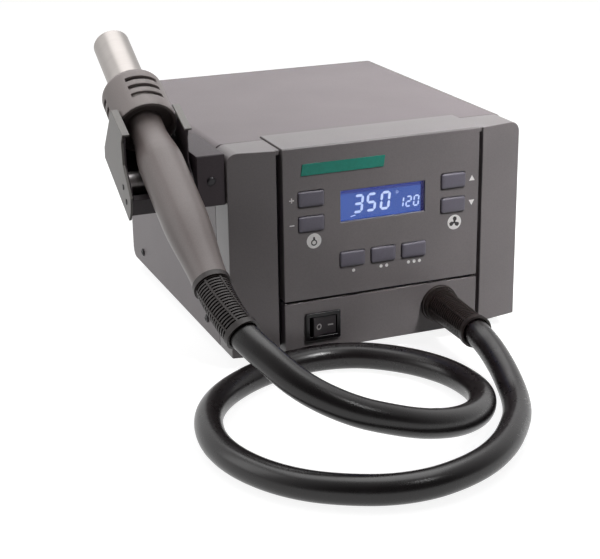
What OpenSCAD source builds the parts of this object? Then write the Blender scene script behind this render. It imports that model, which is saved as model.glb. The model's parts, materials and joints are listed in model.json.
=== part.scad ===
// Hot air rework station: a bench case with a blower inside, a hose and a handle in a side holder.
// X runs to the right, Y to the back and Z up. The feet stand on Z = 0.
// The modules measure from the case: X = 0 is its middle, Y = 0 the face of its centre panel.

/* [Case] */
// Width of the case
case_w = 188; // [180:1:210]
// Height of the case above the feet's contact with it
case_h = 125; // [122:1:140]
// Depth from the centre panel's face to the rear panel
case_d = 220; // [212:1:250]
// Thickness of the sheet steel
sheet_t = 1.2; // [1:0.1:1.6]
// Bend radius of the cover's top edges
cover_r = 5; // [3:0.5:6]
// Thickness of the moulded front pieces
panel_t = 3; // [2.5:0.25:3.5]
// Corner radius of the wings
wing_r = 6.5; // [5:0.5:8]
// Gap between pieces that lie side by side
seam = 0.3; // [0.2:0.05:0.4]

/* [Front] */
// Half the width of the centre panels
centre_half = 63; // [62:0.5:66]
// Width of the grooves beside the centre panels
groove_w = 3.2; // [2:0.2:4]
// Height of the groove between the two centre panels, above the case bottom
split_z = 32; // [30:0.5:34]
// Width of that groove
split_w = 1.6; // [1:0.2:2.4]
// How far the wings lie behind the centre panel beside the grooves
wing_step = 1.5; // [1:0.25:2.5]
// How far the wings' outer corners lie behind the centre panel
wing_sweep = 7; // [5:0.5:9]
// How far the centre panel's top stands above the wings and the cover
centre_rise = 0.9; // [0.5:0.1:1.5]
// Depth of the centre panel's top strip
centre_strip = 35.5; // [34:0.5:38]
// Depth of the wings' top strips
wing_strip = 29.5; // [27:0.5:32]
// Depth of the side walls of the centre panels
groove_depth = 8.8; // [7:0.2:10]

/* [Display and buttons] */
// Width of the display window
lcd_w = 54.4; // [50:0.2:58]
// Height of the display window
lcd_h = 19; // [17:0.2:21]
// Distance from the case's top down to the display's middle
lcd_drop = 38.2; // [37:0.2:41]
// Width of a button
button_w = 16; // [14:0.25:17]
// Height of a button
button_h = 9.2; // [8:0.2:11]
// How far a button stands proud
button_proud = 1.6; // [1:0.1:2.5]
// Clearance around a button
button_gap = 0.2; // [0.15:0.05:0.3]
// How far a button travels
button_travel = 0.8; // [0.5:0.1:1]
// Distance from the middle to the side buttons
side_button_x = 45.8; // [44:0.2:48]
// Distance from the case's top down to the upper side buttons
upper_button_drop = 30.8; // [29:0.2:32]
// Distance from the case's top down to the lower side buttons
lower_button_drop = 45.8; // [45:0.2:47]
// Spacing of the preset buttons
preset_pitch = 20; // [19:0.25:22]
// Distance from the case's top down to the preset buttons
preset_drop = 70.5; // [67:0.5:73]
// Width of the badge plate
badge_w = 53; // [46:1:56]
// Height of the badge plate
badge_h = 6.8; // [6:0.2:9]

/* [Power switch] */
// Width of the switch's flange
switch_w = 22; // [20:0.5:24]
// Height of the switch's flange
switch_h = 17.4; // [15:0.2:18]
// Width of the rocker
rocker_w = 16.4; // [15:0.2:17]
// Height of the rocker
rocker_h = 11.6; // [10:0.2:12]
// How far the rocker leans from the middle to either side
rocker_lean = 8; // [6:1:10]

/* [Air outlet] */
// Distance from the middle to the outlet
outlet_x = 37.5; // [36:0.5:42]
// Height of the outlet above the case bottom
outlet_z = 17.5; // [16:0.5:19]
// Outer diameter of the hose
hose_d = 15.5; // [14:0.5:17]
// Radius of the air passage
bore_r = 5.5; // [4:0.25:6]
// Length of the outlet's strain relief
outlet_relief_l = 46; // [40:1:52]

/* [Handle] */
// Angle of the handle above the level
lean = 28; // [24:1:32]
// Radius of the nozzle pipe
pipe_r = 10.8; // [9:0.1:11.5]
// Wall of the nozzle pipe
pipe_t = 0.7; // [0.5:0.1:1]
// Length of the pipe beyond the vented collar
pipe_l = 43.5; // [35:0.5:60]
// Radius of the vented collar
collar_r = 18; // [16.5:0.1:19]
// Length of the vented collar
collar_l = 34; // [32:0.2:38]
// Length of the grip
grip_l = 123; // [115:1:130]
// Largest radius of the grip
grip_r = 12.8; // [12:0.1:13.5]
// Radius of the grip's neck
neck_r = 10; // [9.5:0.1:10.5]
// Radius of the grip's hose end
grip_end_r = 9.7; // [9:0.1:10.5]
// Length of the handle's strain relief
relief_l = 38; // [32:1:44]

/* [Holder] */
// Gap between the collar and a cheek
collar_gap = 0.6; // [0.5:0.1:2]
// Thickness of a cheek
cheek_t = 1.5; // [1.2:0.1:2]
// Radius of the bar that carries the grip
rest_r = 6.4; // [5:0.1:7]
// Height of the tray's front wall
beam_h = 11.6; // [9:0.2:12]
// Distance from the case to the inner cheek
bracket_w = 17; // [13:0.5:20]
// Depth of the bracket along the case
bracket_d = 52; // [48:1:60]
// Height of the bracket
bracket_h = 30; // [28:0.5:30.5]

/* [Feet and screws] */
// Height of the feet
foot_h = 8; // [6:0.5:12]
// Radius of the feet
foot_r = 8; // [7:0.5:10]
// Distance from the case's side to a foot's middle
foot_inset = 20; // [16:1:26]
// Radius of the screws' shanks
screw_r = 1.5; // [1.2:0.1:1.8]
// Radius of the screws' heads
head_r = 2.6; // [2.4:0.1:3.4]
// Height of the screws' heads
head_h = 1.2; // [1:0.1:2.2]

/* [Hidden] */
$fn = 48;

half_w = case_w / 2;
bottom_z = foot_h;
top_z = foot_h + case_h;
shell_z = top_z - centre_rise;
front_depth = centre_strip + 8;
lcd_z = case_h - lcd_drop;
upper_button_z = case_h - upper_button_drop;
lower_button_z = case_h - lower_button_drop;
preset_z = case_h - preset_drop;

// The frame's plate, behind the front pieces
plate_y = groove_depth + seam;
plate_t = 3;
board_y = plate_y + plate_t + seam;
board_t = 1.6;

// The blower and what it feeds
blower_r = 38;
blower_h = 28;
blower_wall = 2;
blower_x = outlet_x - 25;
blower_y = 118;
blower_z = bottom_z + outlet_z - blower_h / 2;
spigot_y = 70;
spigot_l = 12;
duct_wall = 1.7;
shaft_r = 2;
impeller_r = 31;
impeller_h = 16;
intake_r = 16;
motor_r = 17;
motor_h = 22;
mount_r = 5;
ear_t = 4;

// The outlet's bush and strain relief
bush_r = 11.8;
bush_t = 2.5;
barrel_r = 10;
relief_r = 9.2;
relief_end_r = 8.6;
relief_ring_t = 3;
outlet_droop = 2;

// The handle's axis meets the end of its collar here
cheek_gap = 2 * (collar_r + collar_gap);
handle_x = -half_w - bracket_w - cheek_t - cheek_gap / 2;
neck_y = 36.5;
neck_z = top_z + 11.5;
relief_bend_r = 140;
relief_bend = relief_l / relief_bend_r * 180 / PI;

// The collar's wall, the grip's plug inside it and the pipe's flange beyond the plug
collar_wall = 1.8;
plug_r = collar_r - collar_wall - 0.2;
plug_a = 4.2;
plug_l = 3;
flange_a = plug_a + plug_l + 0.2;
flange_t = 1.2;

// Distances from the neck where the grip's outline changes
swell_top_a = -6;
swell_low_a = -32;
taper_a = -74;

// The holder's pieces, along the handle from its neck and across it from its axis
tray_t = 1;
beam_front_a = -42.8;
rest_a = -23.4;
rest_b = -grip_radius(rest_a) - seam - rest_r;
beam_l = 4.2;
beam_top_b = -grip_radius(beam_front_a) - 1;
floor_b = rest_b - rest_r - 0.2;
wall_a = 6.6;
cheek_low_b = floor_b - tray_t;
stud_proud = 0.4;
stud_l = cheek_t + 0.05 + tray_t;
peg_r = 2;

// The bracket's place on the case's left side
bracket_front_y = 9;
bracket_low_z = top_z - 31;

// The switch's place on the lower panel
switch_x = -centre_half + 23.6;
switch_z = 15.3;
switch_depth = 12;
pivot_y = 4.5;

// The rear panel's fittings
inlet_x = half_w - 38;
inlet_z = 26;
inlet_w = 27;
inlet_h = 19.6;
inlet_flange_w = 50;
inlet_pitch = 40;
inlet_depth = 22;
inlet_cavity = 14;
fuse_x = inlet_x - 36;
fuse_body_r = 6;
fuse_cap_r = 7.5;
fuse_cap_l = 9;

// The side screws, along the case and above its bottom
side_screw_y = [53, 194];
side_screw_z = 9.5;
rear_screw_x = half_w - 22;
rear_screw_z = 6.5;
foot_y = [front_depth + 6.5, 196];

// The whole unit's middle lies over the origin
left_reach = handle_x - cheek_gap / 2 - cheek_t - stud_proud;
right_reach = half_w + head_h;
relief_end = grip_point(-grip_l) + relief_offset();
front_reach = relief_end[1] - 4.8;
rear_reach = case_d + 2 + fuse_cap_l;
case_x = -(left_reach + right_reach) / 2;
case_y = -(front_reach + rear_reach) / 2;

// The hose's course from the outlet to the handle, in millimetres from the case
hose_points = [[38, -63, 20], [36.5, -78, 16], [33.5, -93, 12.5], [28, -111, 9], [20, -127, 8],
               [9, -142, 8], [-4, -156, 8], [-20, -168, 8], [-38, -176, 8], [-58, -180, 8],
               [-78, -178, 8], [-97, -170, 8], [-114, -158, 8], [-127, -142, 8], [-136, -122, 8],
               [-139.5, -101, 8], [-137.5, -80, 8], [-130.5, -60, 8], [-118, -42.5, 8],
               [-101, -28.5, 8], [-82, -18.5, 8], [-62, -13, 8], [-43, -12.5, 8],
               [-25, -17.5, 8], [-10, -28, 8], [3, -43, 8], [12, -61, 8], [15, -81, 8.5],
               [12, -101, 10], [2, -120, 12.5], [-12, -135, 16], [-29, -146, 20.5],
               [-48, -152, 26], [-66, -153, 32], [-83, -150, 38], [-98, -143, 45],
               [-109, -134, 52], [-117.5, -122, 60]];
hose_start = [outlet_x, -bush_t, bottom_z + outlet_z]
             + outlet_relief_l * [0, -cos(outlet_droop), -sin(outlet_droop)];
hose_route = concat([hose_start], hose_points, [relief_end]);
hose_sides = 10;

// A point on the handle's axis, at a distance from its neck towards the nozzle
function grip_point(a) = [handle_x, neck_y + a * cos(lean), neck_z + a * sin(lean)];

// The strain relief bends sideways towards the case as it runs down from the grip
function relief_offset() =
    let (side = relief_bend_r * (1 - cos(relief_bend)), along = relief_bend_r * sin(relief_bend))
    [side, -along * cos(lean), -along * sin(lean)];

// Radius of the grip at a distance from the neck
function grip_radius(a) =
    a > swell_top_a ? neck_r
    : a > swell_low_a ? ease(neck_r, grip_r, (a - swell_top_a) / (swell_low_a - swell_top_a))
    : a > taper_a ? grip_r
    : ease(grip_r, grip_end_r, (a - taper_a) / (-grip_l - taper_a));

// Goes from one value to another with a level start and end
function ease(v0, v1, share) = v0 + (v1 - v0) * (1 - cos(180 * share)) / 2;

function unit(v) = v / norm(v);

module at_origin() {
    translate([case_x, case_y, 0]) children();
}

// Extrudes an outline drawn in X and Z from one depth to another
module along_y(y0, y1) {
    translate([0, y1, 0]) rotate([90, 0, 0]) linear_extrude(y1 - y0) children();
}

// Extrudes an outline drawn in Y and Z from one side to another
module along_x(x0, x1) {
    translate([x0, 0, 0]) rotate([90, 0, 90]) linear_extrude(x1 - x0) children();
}

// The holder's own directions: the second runs along the handle, the third across it
module in_cradle() {
    translate([0, neck_y, neck_z]) rotate([lean, 0, 0]) children();
}

// Turned pieces of the handle are drawn along Z, with the nozzle up
module on_handle() {
    in_cradle() translate([handle_x, 0, 0]) rotate([-90, 0, 0]) children();
}

module box_between(low, high) {
    translate(low) cube(high - low);
}

module span(x0, x1, z0, z1) {
    translate([x0, z0]) square([x1 - x0, z1 - z0]);
}

module rounded_rect(w, h, r) {
    square([w - 2 * r, h], center = true);
    square([w, h - 2 * r], center = true);
    for (sx = [-1, 1], sy = [-1, 1]) translate([sx * (w / 2 - r), sy * (h / 2 - r)]) circle(r);
}

// The case seen from the front, drawn in by an inset on the sides, top and bottom
module case_outline(inset, r, low = 0) {
    rr = max(r - inset, 0.6);
    span(-half_w + inset, half_w - inset, bottom_z + low, shell_z - inset - rr);
    span(-half_w + inset + rr, half_w - inset - rr, bottom_z + low, shell_z - inset);
    for (s = [-1, 1]) translate([s * (half_w - inset - rr), shell_z - inset - rr]) circle(rr);
}

module tube(r_out, r_in, length) {
    difference() {
        cylinder(r = r_out, h = length);
        translate([0, 0, -1]) cylinder(r = r_in, h = length + 2);
    }
}

// A pan head screw that points down, its head standing on Z = 0
module pan_screw(length) {
    rotate_extrude() polygon([[0, -length], [screw_r, -length], [screw_r, 0], [head_r, 0],
                              [head_r, head_h * 0.45], [head_r * 0.62, head_h], [0, head_h]]);
}

// Where the side screws and the feet stand
module at_side_screws() {
    for (y = side_screw_y) {
        translate([-half_w, y, bottom_z + side_screw_z]) rotate([0, -90, 0]) children();
        translate([half_w, y, bottom_z + side_screw_z]) rotate([0, 90, 0]) children();
    }
}

module at_rear_screws() {
    for (s = [-1, 1]) translate([s * rear_screw_x, case_d, bottom_z + rear_screw_z])
        rotate([-90, 0, 0]) children();
}

module at_feet() {
    for (y = foot_y, s = [-1, 1]) translate([s * (half_w - foot_inset), y, 0]) children();
}

module base_plate() {
    flange_h = side_screw_z + 9;
    rear_flange_h = rear_screw_z + 6;
    inner = half_w - sheet_t - seam;
    back_y = case_d - sheet_t - seam;
    color("gainsboro") at_origin() difference() {
        union() {
            box_between([-inner, wing_strip + 1.5, bottom_z], [inner, back_y, bottom_z + sheet_t]);
            for (s = [0, 1]) mirror([s, 0, 0])
                box_between([inner - sheet_t, front_depth + 1, bottom_z],
                            [inner, back_y, bottom_z + flange_h]);
            box_between([-inner, back_y - sheet_t, bottom_z], [inner, back_y, bottom_z + rear_flange_h]);
        }
        at_side_screws() translate([0, 0, -8]) cylinder(r = screw_r + 0.05, h = 10);
        at_rear_screws() translate([0, 0, -8]) cylinder(r = screw_r + 0.05, h = 10);
        at_feet() cylinder(r = screw_r + 0.1, h = 20);
        for (a = [0 : 45 : 315]) translate([blower_x, blower_y, 0]) rotate([0, 0, a])
            box_between([5, -1.5, bottom_z - 1], [intake_r, 1.5, bottom_z + sheet_t + 1]);
        at_blower_mounts() cylinder(r = screw_r + 0.1, h = 20);
    }
}

module top_cover() {
    color("rosybrown") at_origin() difference() {
        along_y(wing_strip + seam, case_d) difference() {
            case_outline(0, cover_r);
            case_outline(sheet_t, cover_r, low = -1);
        }
        box_between([-centre_half - seam, 0, top_z - 4],
                    [centre_half + seam, centre_strip + seam, top_z + 1]);
        at_side_screws() translate([0, 0, -5]) cylinder(r = screw_r + 0.2, h = 10);
        lower_corner_cut();
        holder_screw_holes(screw_r + 0.2);
    }
}

// Rounds the lower rear corners of the cover's sides
module lower_corner_cut() {
    r = 7;
    difference() {
        box_between([-half_w - 1, case_d - r, bottom_z - 1], [half_w + 1, case_d + 1, bottom_z + r]);
        translate([0, case_d - r, bottom_z + r]) rotate([0, 90, 0])
            cylinder(r = r, h = 2 * half_w + 4, center = true);
    }
}

module rear_panel() {
    vents_x = -half_w + 32;
    vent_w = 24;
    vent_pitch = 8;
    vent_rows = 9;
    color("dimgray") at_origin() along_y(case_d - sheet_t, case_d) difference() {
        case_outline(sheet_t + seam, cover_r, low = sheet_t + seam);
        for (s = [-1, 1]) translate([s * (half_w - 1), bottom_z]) circle(7);
        for (s = [-1, 1]) translate([s * rear_screw_x, bottom_z + rear_screw_z])
            circle(screw_r + 0.2);
        translate([inlet_x, bottom_z + inlet_z])
            rounded_rect(inlet_w + 2 * seam, inlet_h + 2 * seam, 2);
        for (s = [-1, 1]) translate([inlet_x + s * inlet_pitch / 2, bottom_z + inlet_z])
            circle(screw_r + 0.2);
        translate([fuse_x, bottom_z + inlet_z]) circle(fuse_body_r + seam);
        for (row = [0 : vent_rows - 1], col = [0 : 1])
            translate([vents_x + col * (vent_w + 8), bottom_z + 30 + row * vent_pitch])
                rounded_rect(vent_w, 3, 1.4);
    }
}

module front_frame() {
    window_x = side_button_x + button_w / 2 + 4;
    window_low = bottom_z + preset_z - button_h / 2 - 4;
    window_high = bottom_z + upper_button_z + button_h / 2 + 6;
    rim = panel_t + seam;
    color("black") at_origin() {
        difference() {
            union() {
                along_y(plate_y, plate_y + plate_t) case_outline(rim, wing_r, low = rim);
                along_y(plate_y, front_depth) difference() {
                    case_outline(rim, wing_r, low = rim);
                    case_outline(rim + 2.4, wing_r, low = rim + 2.4);
                }
                along_y(centre_strip + 2 * seam, front_depth) difference() {
                    case_outline(sheet_t + seam, cover_r, low = sheet_t + seam);
                    case_outline(rim + 1, wing_r, low = rim + 1);
                }
            }
            along_y(0, board_y) span(-window_x, window_x, window_low, window_high);
            along_y(0, front_depth) translate([outlet_x, bottom_z + outlet_z])
                circle(spigot_r() + duct_wall + 0.6);
            along_y(0, front_depth) translate([switch_x, bottom_z + switch_z])
                square([switch_w, switch_h], center = true);
            holder_screw_holes(screw_r + 0.05);
        }
    }
}

// A wing is a shell whose face runs back towards the case's corner. A ledge at its top closes
// the groove beside the centre panel's top strip.
module wing() {
    inner_x = centre_half + groove_w;
    slope = (wing_sweep - wing_step) / (half_w - inner_x);
    box_between([centre_half + seam, panel_t, shell_z - panel_t], [inner_x + 0.1, wing_strip, shell_z]);
    difference() {
        intersection() {
            linear_extrude(top_z + 1) polygon([[inner_x, wing_step], [half_w, wing_sweep],
                                               [half_w, wing_strip], [inner_x, wing_strip]]);
            along_y(-1, wing_strip + 1) case_outline(0, wing_r);
        }
        intersection() {
            translate([0, 0, bottom_z + panel_t]) linear_extrude(top_z)
                polygon([[inner_x + 2, wing_step + panel_t + 2 * slope],
                         [half_w - panel_t, wing_sweep + panel_t - panel_t * slope],
                         [half_w - panel_t, wing_strip + 1], [inner_x + 2, wing_strip + 1]]);
            along_y(-1, wing_strip + 1) case_outline(panel_t, wing_r);
        }
        intersection() {
            box_between([inner_x - 1, groove_depth, bottom_z + panel_t],
                        [half_w - panel_t, wing_strip + 1, top_z - panel_t]);
            along_y(-1, wing_strip + 1) case_outline(panel_t, wing_r);
        }
    }
}

module right_wing() {
    color("dimgray") at_origin() wing();
}

module left_wing() {
    color("dimgray") at_origin() mirror([1, 0, 0]) wing();
}

// The holes that the display, the buttons and their marks need
module panel_holes() {
    translate([0, bottom_z + lcd_z]) square([lcd_w, lcd_h], center = true);
    for (p = button_places) translate([p[0], bottom_z + p[1]])
        rounded_rect(button_w + 2 * button_gap, button_h + 2 * button_gap, 1.4);
}

button_places = [[-side_button_x, upper_button_z], [-side_button_x, lower_button_z],
                 [side_button_x, upper_button_z], [side_button_x, lower_button_z],
                 [-preset_pitch, preset_z], [0, preset_z], [preset_pitch, preset_z]];

module control_panel() {
    low = bottom_z + split_z + split_w / 2;
    color("dimgray") at_origin() {
        difference() {
            union() {
                along_y(0, panel_t) span(-centre_half, centre_half, low, top_z);
                along_y(0, centre_strip) span(-centre_half, centre_half, top_z - panel_t, top_z);
                along_y(0, groove_depth) for (s = [0, 1]) mirror([s, 0])
                    span(centre_half - 2, centre_half, low, top_z);
            }
            along_y(-1, panel_t + 1) panel_holes();
            front_edge_cut(top_z);
        }
    }
}

// Takes the sharp edge off the top of the centre panel
module front_edge_cut(z) {
    r = 1.2;
    translate([0, 0, z - r]) difference() {
        box_between([-centre_half - 1, -1, 0], [centre_half + 1, r, r + 1]);
        translate([-centre_half - 1, r, 0]) rotate([0, 90, 0]) cylinder(r = r, h = case_w);
    }
}

module lower_panel() {
    high = bottom_z + split_z - split_w / 2;
    color("dimgray") at_origin() difference() {
        union() {
            along_y(0, panel_t) span(-centre_half, centre_half, bottom_z, high);
            along_y(0, wing_strip) span(-centre_half, centre_half, bottom_z, bottom_z + panel_t);
            along_y(0, groove_depth) for (s = [0, 1]) mirror([s, 0])
                span(centre_half - 2, centre_half, bottom_z, high);
        }
        translate([outlet_x, panel_t + 1, bottom_z + outlet_z]) rotate([90, 0, 0])
            cylinder(r = barrel_r + 0.2, h = panel_t + 2);
        along_y(-1, panel_t + 1) translate([switch_x, bottom_z + switch_z])
            square([switch_w - 2, switch_h - 2], center = true);
    }
}

module badge_plate() {
    slant = 1;
    left = -badge_w + 1;
    low = bottom_z + lcd_z + lcd_h / 2 + 11.9;
    color("teal") at_origin() along_y(-0.5, -0.05)
        polygon([[left, low], [left + badge_w - slant, low], [left + badge_w, low + badge_h],
                 [left + slant, low + badge_h]]);
}

module lcd_window() {
    color("lightblue") at_origin() along_y(1.4, panel_t) translate([0, bottom_z + lcd_z])
        square([lcd_w - 0.2, lcd_h - 0.2], center = true);
}

module lcd_module() {
    color("royalblue") at_origin() along_y(panel_t + seam, board_y - seam)
        translate([0, bottom_z + lcd_z]) square([lcd_w + 6, lcd_h + 7], center = true);
}

module display_board() {
    low = bottom_z + preset_z - button_h / 2 - 7;
    high = bottom_z + upper_button_z + button_h / 2 + 9;
    width = 2 * (side_button_x + button_w / 2 + 6);
    color("green") at_origin() {
        along_y(board_y, board_y + board_t) span(-width / 2, width / 2, low, high);
        along_y(board_y + board_t, board_y + board_t + 3) translate([0, bottom_z + lcd_z])
            square([14, 14], center = true);
        along_y(board_y + board_t, board_y + board_t + 9) span(20, 44, low + 4, low + 12);
    }
}

// One small switch behind each button, its stem short of the button's back
module tact_switches() {
    back_y = panel_t + seam + 1.4;
    color("silver") at_origin() for (p = button_places)
        translate([p[0], 0, bottom_z + p[1]]) {
            box_between([-3, board_y - 3.5, -3], [3, board_y, 3]);
            translate([0, board_y - 3, 0]) rotate([90, 0, 0])
                cylinder(r = 1.7, h = board_y - 3 - back_y - button_travel - 0.1);
        }
}

// A button with a crowned face and a flange behind the panel that keeps it in
module button(index) {
    p = button_places[index];
    flange_y = panel_t + seam;
    color("darkslateblue") at_origin() translate([p[0], 0, bottom_z + p[1]]) {
        along_y(-button_proud + 0.5, flange_y + 1) rounded_rect(button_w, button_h, 1.2);
        along_y(-button_proud, -button_proud + 0.5) rounded_rect(button_w - 1, button_h - 1, 1);
        along_y(flange_y, flange_y + 1.4) rounded_rect(button_w + 2, button_h + 2, 1.2);
    }
}

module temp_up_button() { button(0); }
module temp_down_button() { button(1); }
module air_up_button() { button(2); }
module air_down_button() { button(3); }
module preset_1_button() { button(4); }
module preset_2_button() { button(5); }
module preset_3_button() { button(6); }

module at_switch() {
    translate([switch_x, 0, bottom_z + switch_z]) children();
}

module switch_bezel() {
    color("black") at_origin() at_switch() difference() {
        union() {
            along_y(-1.8, -0.02) rounded_rect(switch_w, switch_h, 0.8);
            along_y(-0.5, switch_depth) rounded_rect(switch_w - 2.4, switch_h - 2.4, 0.6);
        }
        along_y(-3, switch_depth - 1.5) square([rocker_w + 1, rocker_h + 0.6], center = true);
        translate([0, pivot_y, 0]) cylinder(r = 1.3, h = switch_h - 3.4, center = true);
    }
}

// The rocker turns about an upright pin and rests with its right end pressed in
module power_rocker() {
    face_y = -1.2;
    color("darkslategray") at_origin() at_switch() translate([0, pivot_y, 0])
        rotate([0, 0, rocker_lean]) {
            linear_extrude(rocker_h, center = true)
                polygon([[-rocker_w / 2 + 0.6, face_y - pivot_y - 0.9],
                         [0, face_y - pivot_y + 0.3],
                         [rocker_w / 2 - 0.6, face_y - pivot_y - 0.9],
                         [rocker_w / 2 - 1, 0], [2.6, 3.4], [-2.6, 3.4], [-rocker_w / 2 + 1, 0]]);
            cylinder(r = 1.2, h = switch_h - 3.8, center = true);
        }
}

function spigot_r() = bore_r + 1.6;

module outlet_bush() {
    color("black") at_origin() translate([outlet_x, -bush_t, bottom_z + outlet_z])
        rotate([-90, 0, 0]) difference() {
            union() {
                cylinder(r = bush_r, h = bush_t - 0.02);
                cylinder(r = barrel_r, h = bush_t + panel_t + 3);
                cylinder(r = spigot_r(), h = bush_t + plate_y + plate_t + 12);
            }
            translate([0, 0, -1]) cylinder(r = bore_r, h = 60);
        }
}

// The ribs of a strain relief that is drawn along Z from its wide end
module relief_body(length, r0, r1) {
    ribs = 9;
    pitch = (length - relief_ring_t - 5) / ribs;
    difference() {
        rotate_extrude() polygon([[0, 0], [r0 + 0.8, 0], [r0 + 0.8, 4], [r0, 5],
                                  [r1, length - relief_ring_t], [r1 + 0.8, length - relief_ring_t],
                                  [r1 + 0.8, length], [0, length]]);
        for (i = [0 : ribs - 1]) translate([0, 0, 5.4 + i * pitch])
            tube(r0 + 3, min(r0, r1) - 0.9, pitch * 0.4);
        translate([0, 0, -1]) cylinder(r = bore_r, h = length + 2);
    }
}

module outlet_strain_relief() {
    color("black") at_origin() translate([outlet_x, -bush_t, bottom_z + outlet_z])
        rotate([90 + outlet_droop, 0, 0]) difference() {
            relief_body(outlet_relief_l, relief_r, relief_end_r);
            rotate([-outlet_droop, 0, 0]) translate([-20, -20, -5]) cube([40, 40, 5.05]);
        }
}

// One ring of the hose, square to its course
function ring_at(p, t) =
    let (side = unit(cross(t, [0, 0, 1])), up = cross(side, t))
    [for (i = [0 : hose_sides - 1])
        let (a = 360 * i / hose_sides) p + hose_d / 2 * (cos(a) * side + sin(a) * up)];

function tangent_at(i) =
    let (last = len(hose_route) - 1)
    i == 0 ? [0, -cos(outlet_droop), -sin(outlet_droop)]
    : i == last ? unit([-sin(relief_bend), cos(relief_bend) * cos(lean),
                        cos(relief_bend) * sin(lean)])
    : unit(hose_route[i + 1] - hose_route[i - 1]);

module hose() {
    count = len(hose_route);
    n = hose_sides;
    points = [for (i = [0 : count - 1]) each ring_at(hose_route[i], tangent_at(i))];
    faces = concat(
        [[for (i = [n - 1 : -1 : 0]) i]],
        [for (r = [0 : count - 2], i = [0 : n - 1])
            [r * n + i, r * n + (i + 1) % n, (r + 1) * n + (i + 1) % n, (r + 1) * n + i]],
        [[for (i = [0 : n - 1]) (count - 1) * n + i]]);
    color("black") at_origin() polyhedron(points, faces);
}

inner_cheek_x = handle_x + cheek_gap / 2;
outer_cheek_x = handle_x - cheek_gap / 2;

module holder_bracket() {
    color("black") at_origin() difference() {
        box_between([inner_cheek_x + cheek_t + 0.05, bracket_front_y, bracket_low_z],
                    [-half_w - 0.05, bracket_front_y + bracket_d, bracket_low_z + bracket_h]);
        holder_screw_holes(screw_r + 0.05);
        at_bracket_screw() translate([0, 0, -bracket_screw_l - 1]) cylinder(r = screw_r + 0.05, h = 20);
    }
}

// A cheek seen from the side, in the holder's own directions. Its top edge carries a lip.
lip_back = [5.7, 11.1];
lip_front = [-18.4, 13];
cheek_back = [lip_back, [11, -20.9], [8.6, cheek_low_b]];
outer_points = concat(cheek_back, [[beam_front_a - 2.5, cheek_low_b],
                                   [beam_front_a - 3.4, beam_top_b - 6],
                                   [beam_front_a - 0.7, beam_top_b + 2],
                                   [-34, -7.5], [-24.5, -3.5], [-17.8, 7], lip_front]);

// The cheek next to the case ends behind the tray's side wall
inner_points = concat(cheek_back, [[-15, cheek_low_b], [-12.5, 6], [-16.5, 11.4], lip_front]);

// The lip's edge stays clear of the round collar that slides out past it
lip_reach = sqrt(pow(collar_r, 2) - pow(lip_back[1] - cheek_t - 0.5, 2)) + 0.25;
lip_w = cheek_gap / 2 - lip_reach;

// The cheek on the side of rising X, its inner face at X = 0
module cheek(outline) {
    down = [0, -cheek_t];
    in_cradle() {
        along_x(0, cheek_t) polygon(outline);
        along_x(-lip_w, cheek_t)
            polygon([lip_back, lip_front, lip_front + down, lip_back + down]);
    }
}

module outer_cheek() {
    color("gray") at_origin() difference() {
        translate([outer_cheek_x, 0, 0]) mirror([1, 0, 0]) cheek(outer_points);
        holder_screw_holes(screw_r + 0.1);
    }
}

module inner_cheek() {
    color("gray") at_origin() difference() {
        translate([inner_cheek_x, 0, 0]) cheek(inner_points);
        holder_screw_holes(screw_r + 0.1);
    }
}

// The tray's side walls line the cheeks, and step down beside the collar
wall_points = [[-0.6, 9.8], [-0.6, -8], [wall_a, -8], [wall_a, floor_b], [beam_front_a + 1, floor_b],
               [beam_front_a + 1, beam_top_b + 1], [-34, -9], [-25, -5], [-18.6, 5.8], [-17.4, 11]];

// A dark bent tray between the cheeks: side walls, floor, notched back wall and front beam
module holder_tray() {
    half = cheek_gap / 2 - 0.05;
    color("black") at_origin() difference() {
        in_cradle() translate([handle_x, 0, 0]) difference() {
            union() {
                for (s = [0, 1]) mirror([s, 0, 0]) along_x(half - tray_t, half) polygon(wall_points);
                along_x(-half, half) span(beam_front_a + 1, wall_a, floor_b - tray_t, floor_b);
                along_x(-half, half) span(wall_a, wall_a + tray_t, floor_b - tray_t, -8);
                along_x(-half, half)
                    span(beam_front_a, beam_front_a + beam_l, beam_top_b - beam_h, beam_top_b);
            }
            translate([0, wall_a - 1, 0]) rotate([-90, 0, 0])
                cylinder(r = collar_r + 0.7, h = tray_t + 2);
            at_reed() cylinder(r = 1.6, h = 17, center = true);
            translate([-half - 1, rest_a, rest_b]) rotate([0, 90, 0])
                cylinder(r = peg_r + 0.05, h = 2 * half + 2);
        }
        holder_screw_holes(screw_r + 0.05);
    }
}

// A round bar whose pegs sit in the tray's side walls
module rest_bar() {
    half = cheek_gap / 2 - tray_t - 0.1;
    color("silver") at_origin() in_cradle() translate([handle_x, rest_a, rest_b])
        rotate([0, 90, 0]) {
            cylinder(r = rest_r, h = 2 * half, center = true);
            cylinder(r = peg_r, h = 2 * half + 2 * tray_t, center = true);
        }
}

// The studs that join the tray to the outer cheek show on it
module at_studs() {
    in_cradle() for (p = [[-29.2, -15.6], [-37, -19.6]])
        translate([outer_cheek_x - cheek_t, p[0], p[1]]) rotate([0, -90, 0]) children();
}

// Two screws fix the tray, the inner cheek and the bracket to the case
module at_inner_screws() {
    in_cradle() for (p = [[-10, -15], [0.5, -19.2]])
        translate([inner_cheek_x - tray_t - 0.05, p[0], p[1]]) rotate([0, -90, 0]) children();
}

module holder_screw_holes(r) {
    at_studs() translate([0, 0, -stud_l - 0.05]) cylinder(r = r, h = stud_l + 1);
    at_inner_screws() translate([0, 0, -inner_screw_l - 0.05]) cylinder(r = r, h = inner_screw_l + 0.05);
}

// The inner screws reach through the bracket and the case's side
inner_screw_l = bracket_w + cheek_t + 6;
bracket_screw_l = 10;

// One screw shows in the middle of the bracket's front
module at_bracket_screw() {
    translate([-half_w - bracket_w / 2, bracket_front_y, bracket_low_z + bracket_h / 2])
        rotate([90, 0, 0]) children();
}

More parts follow.
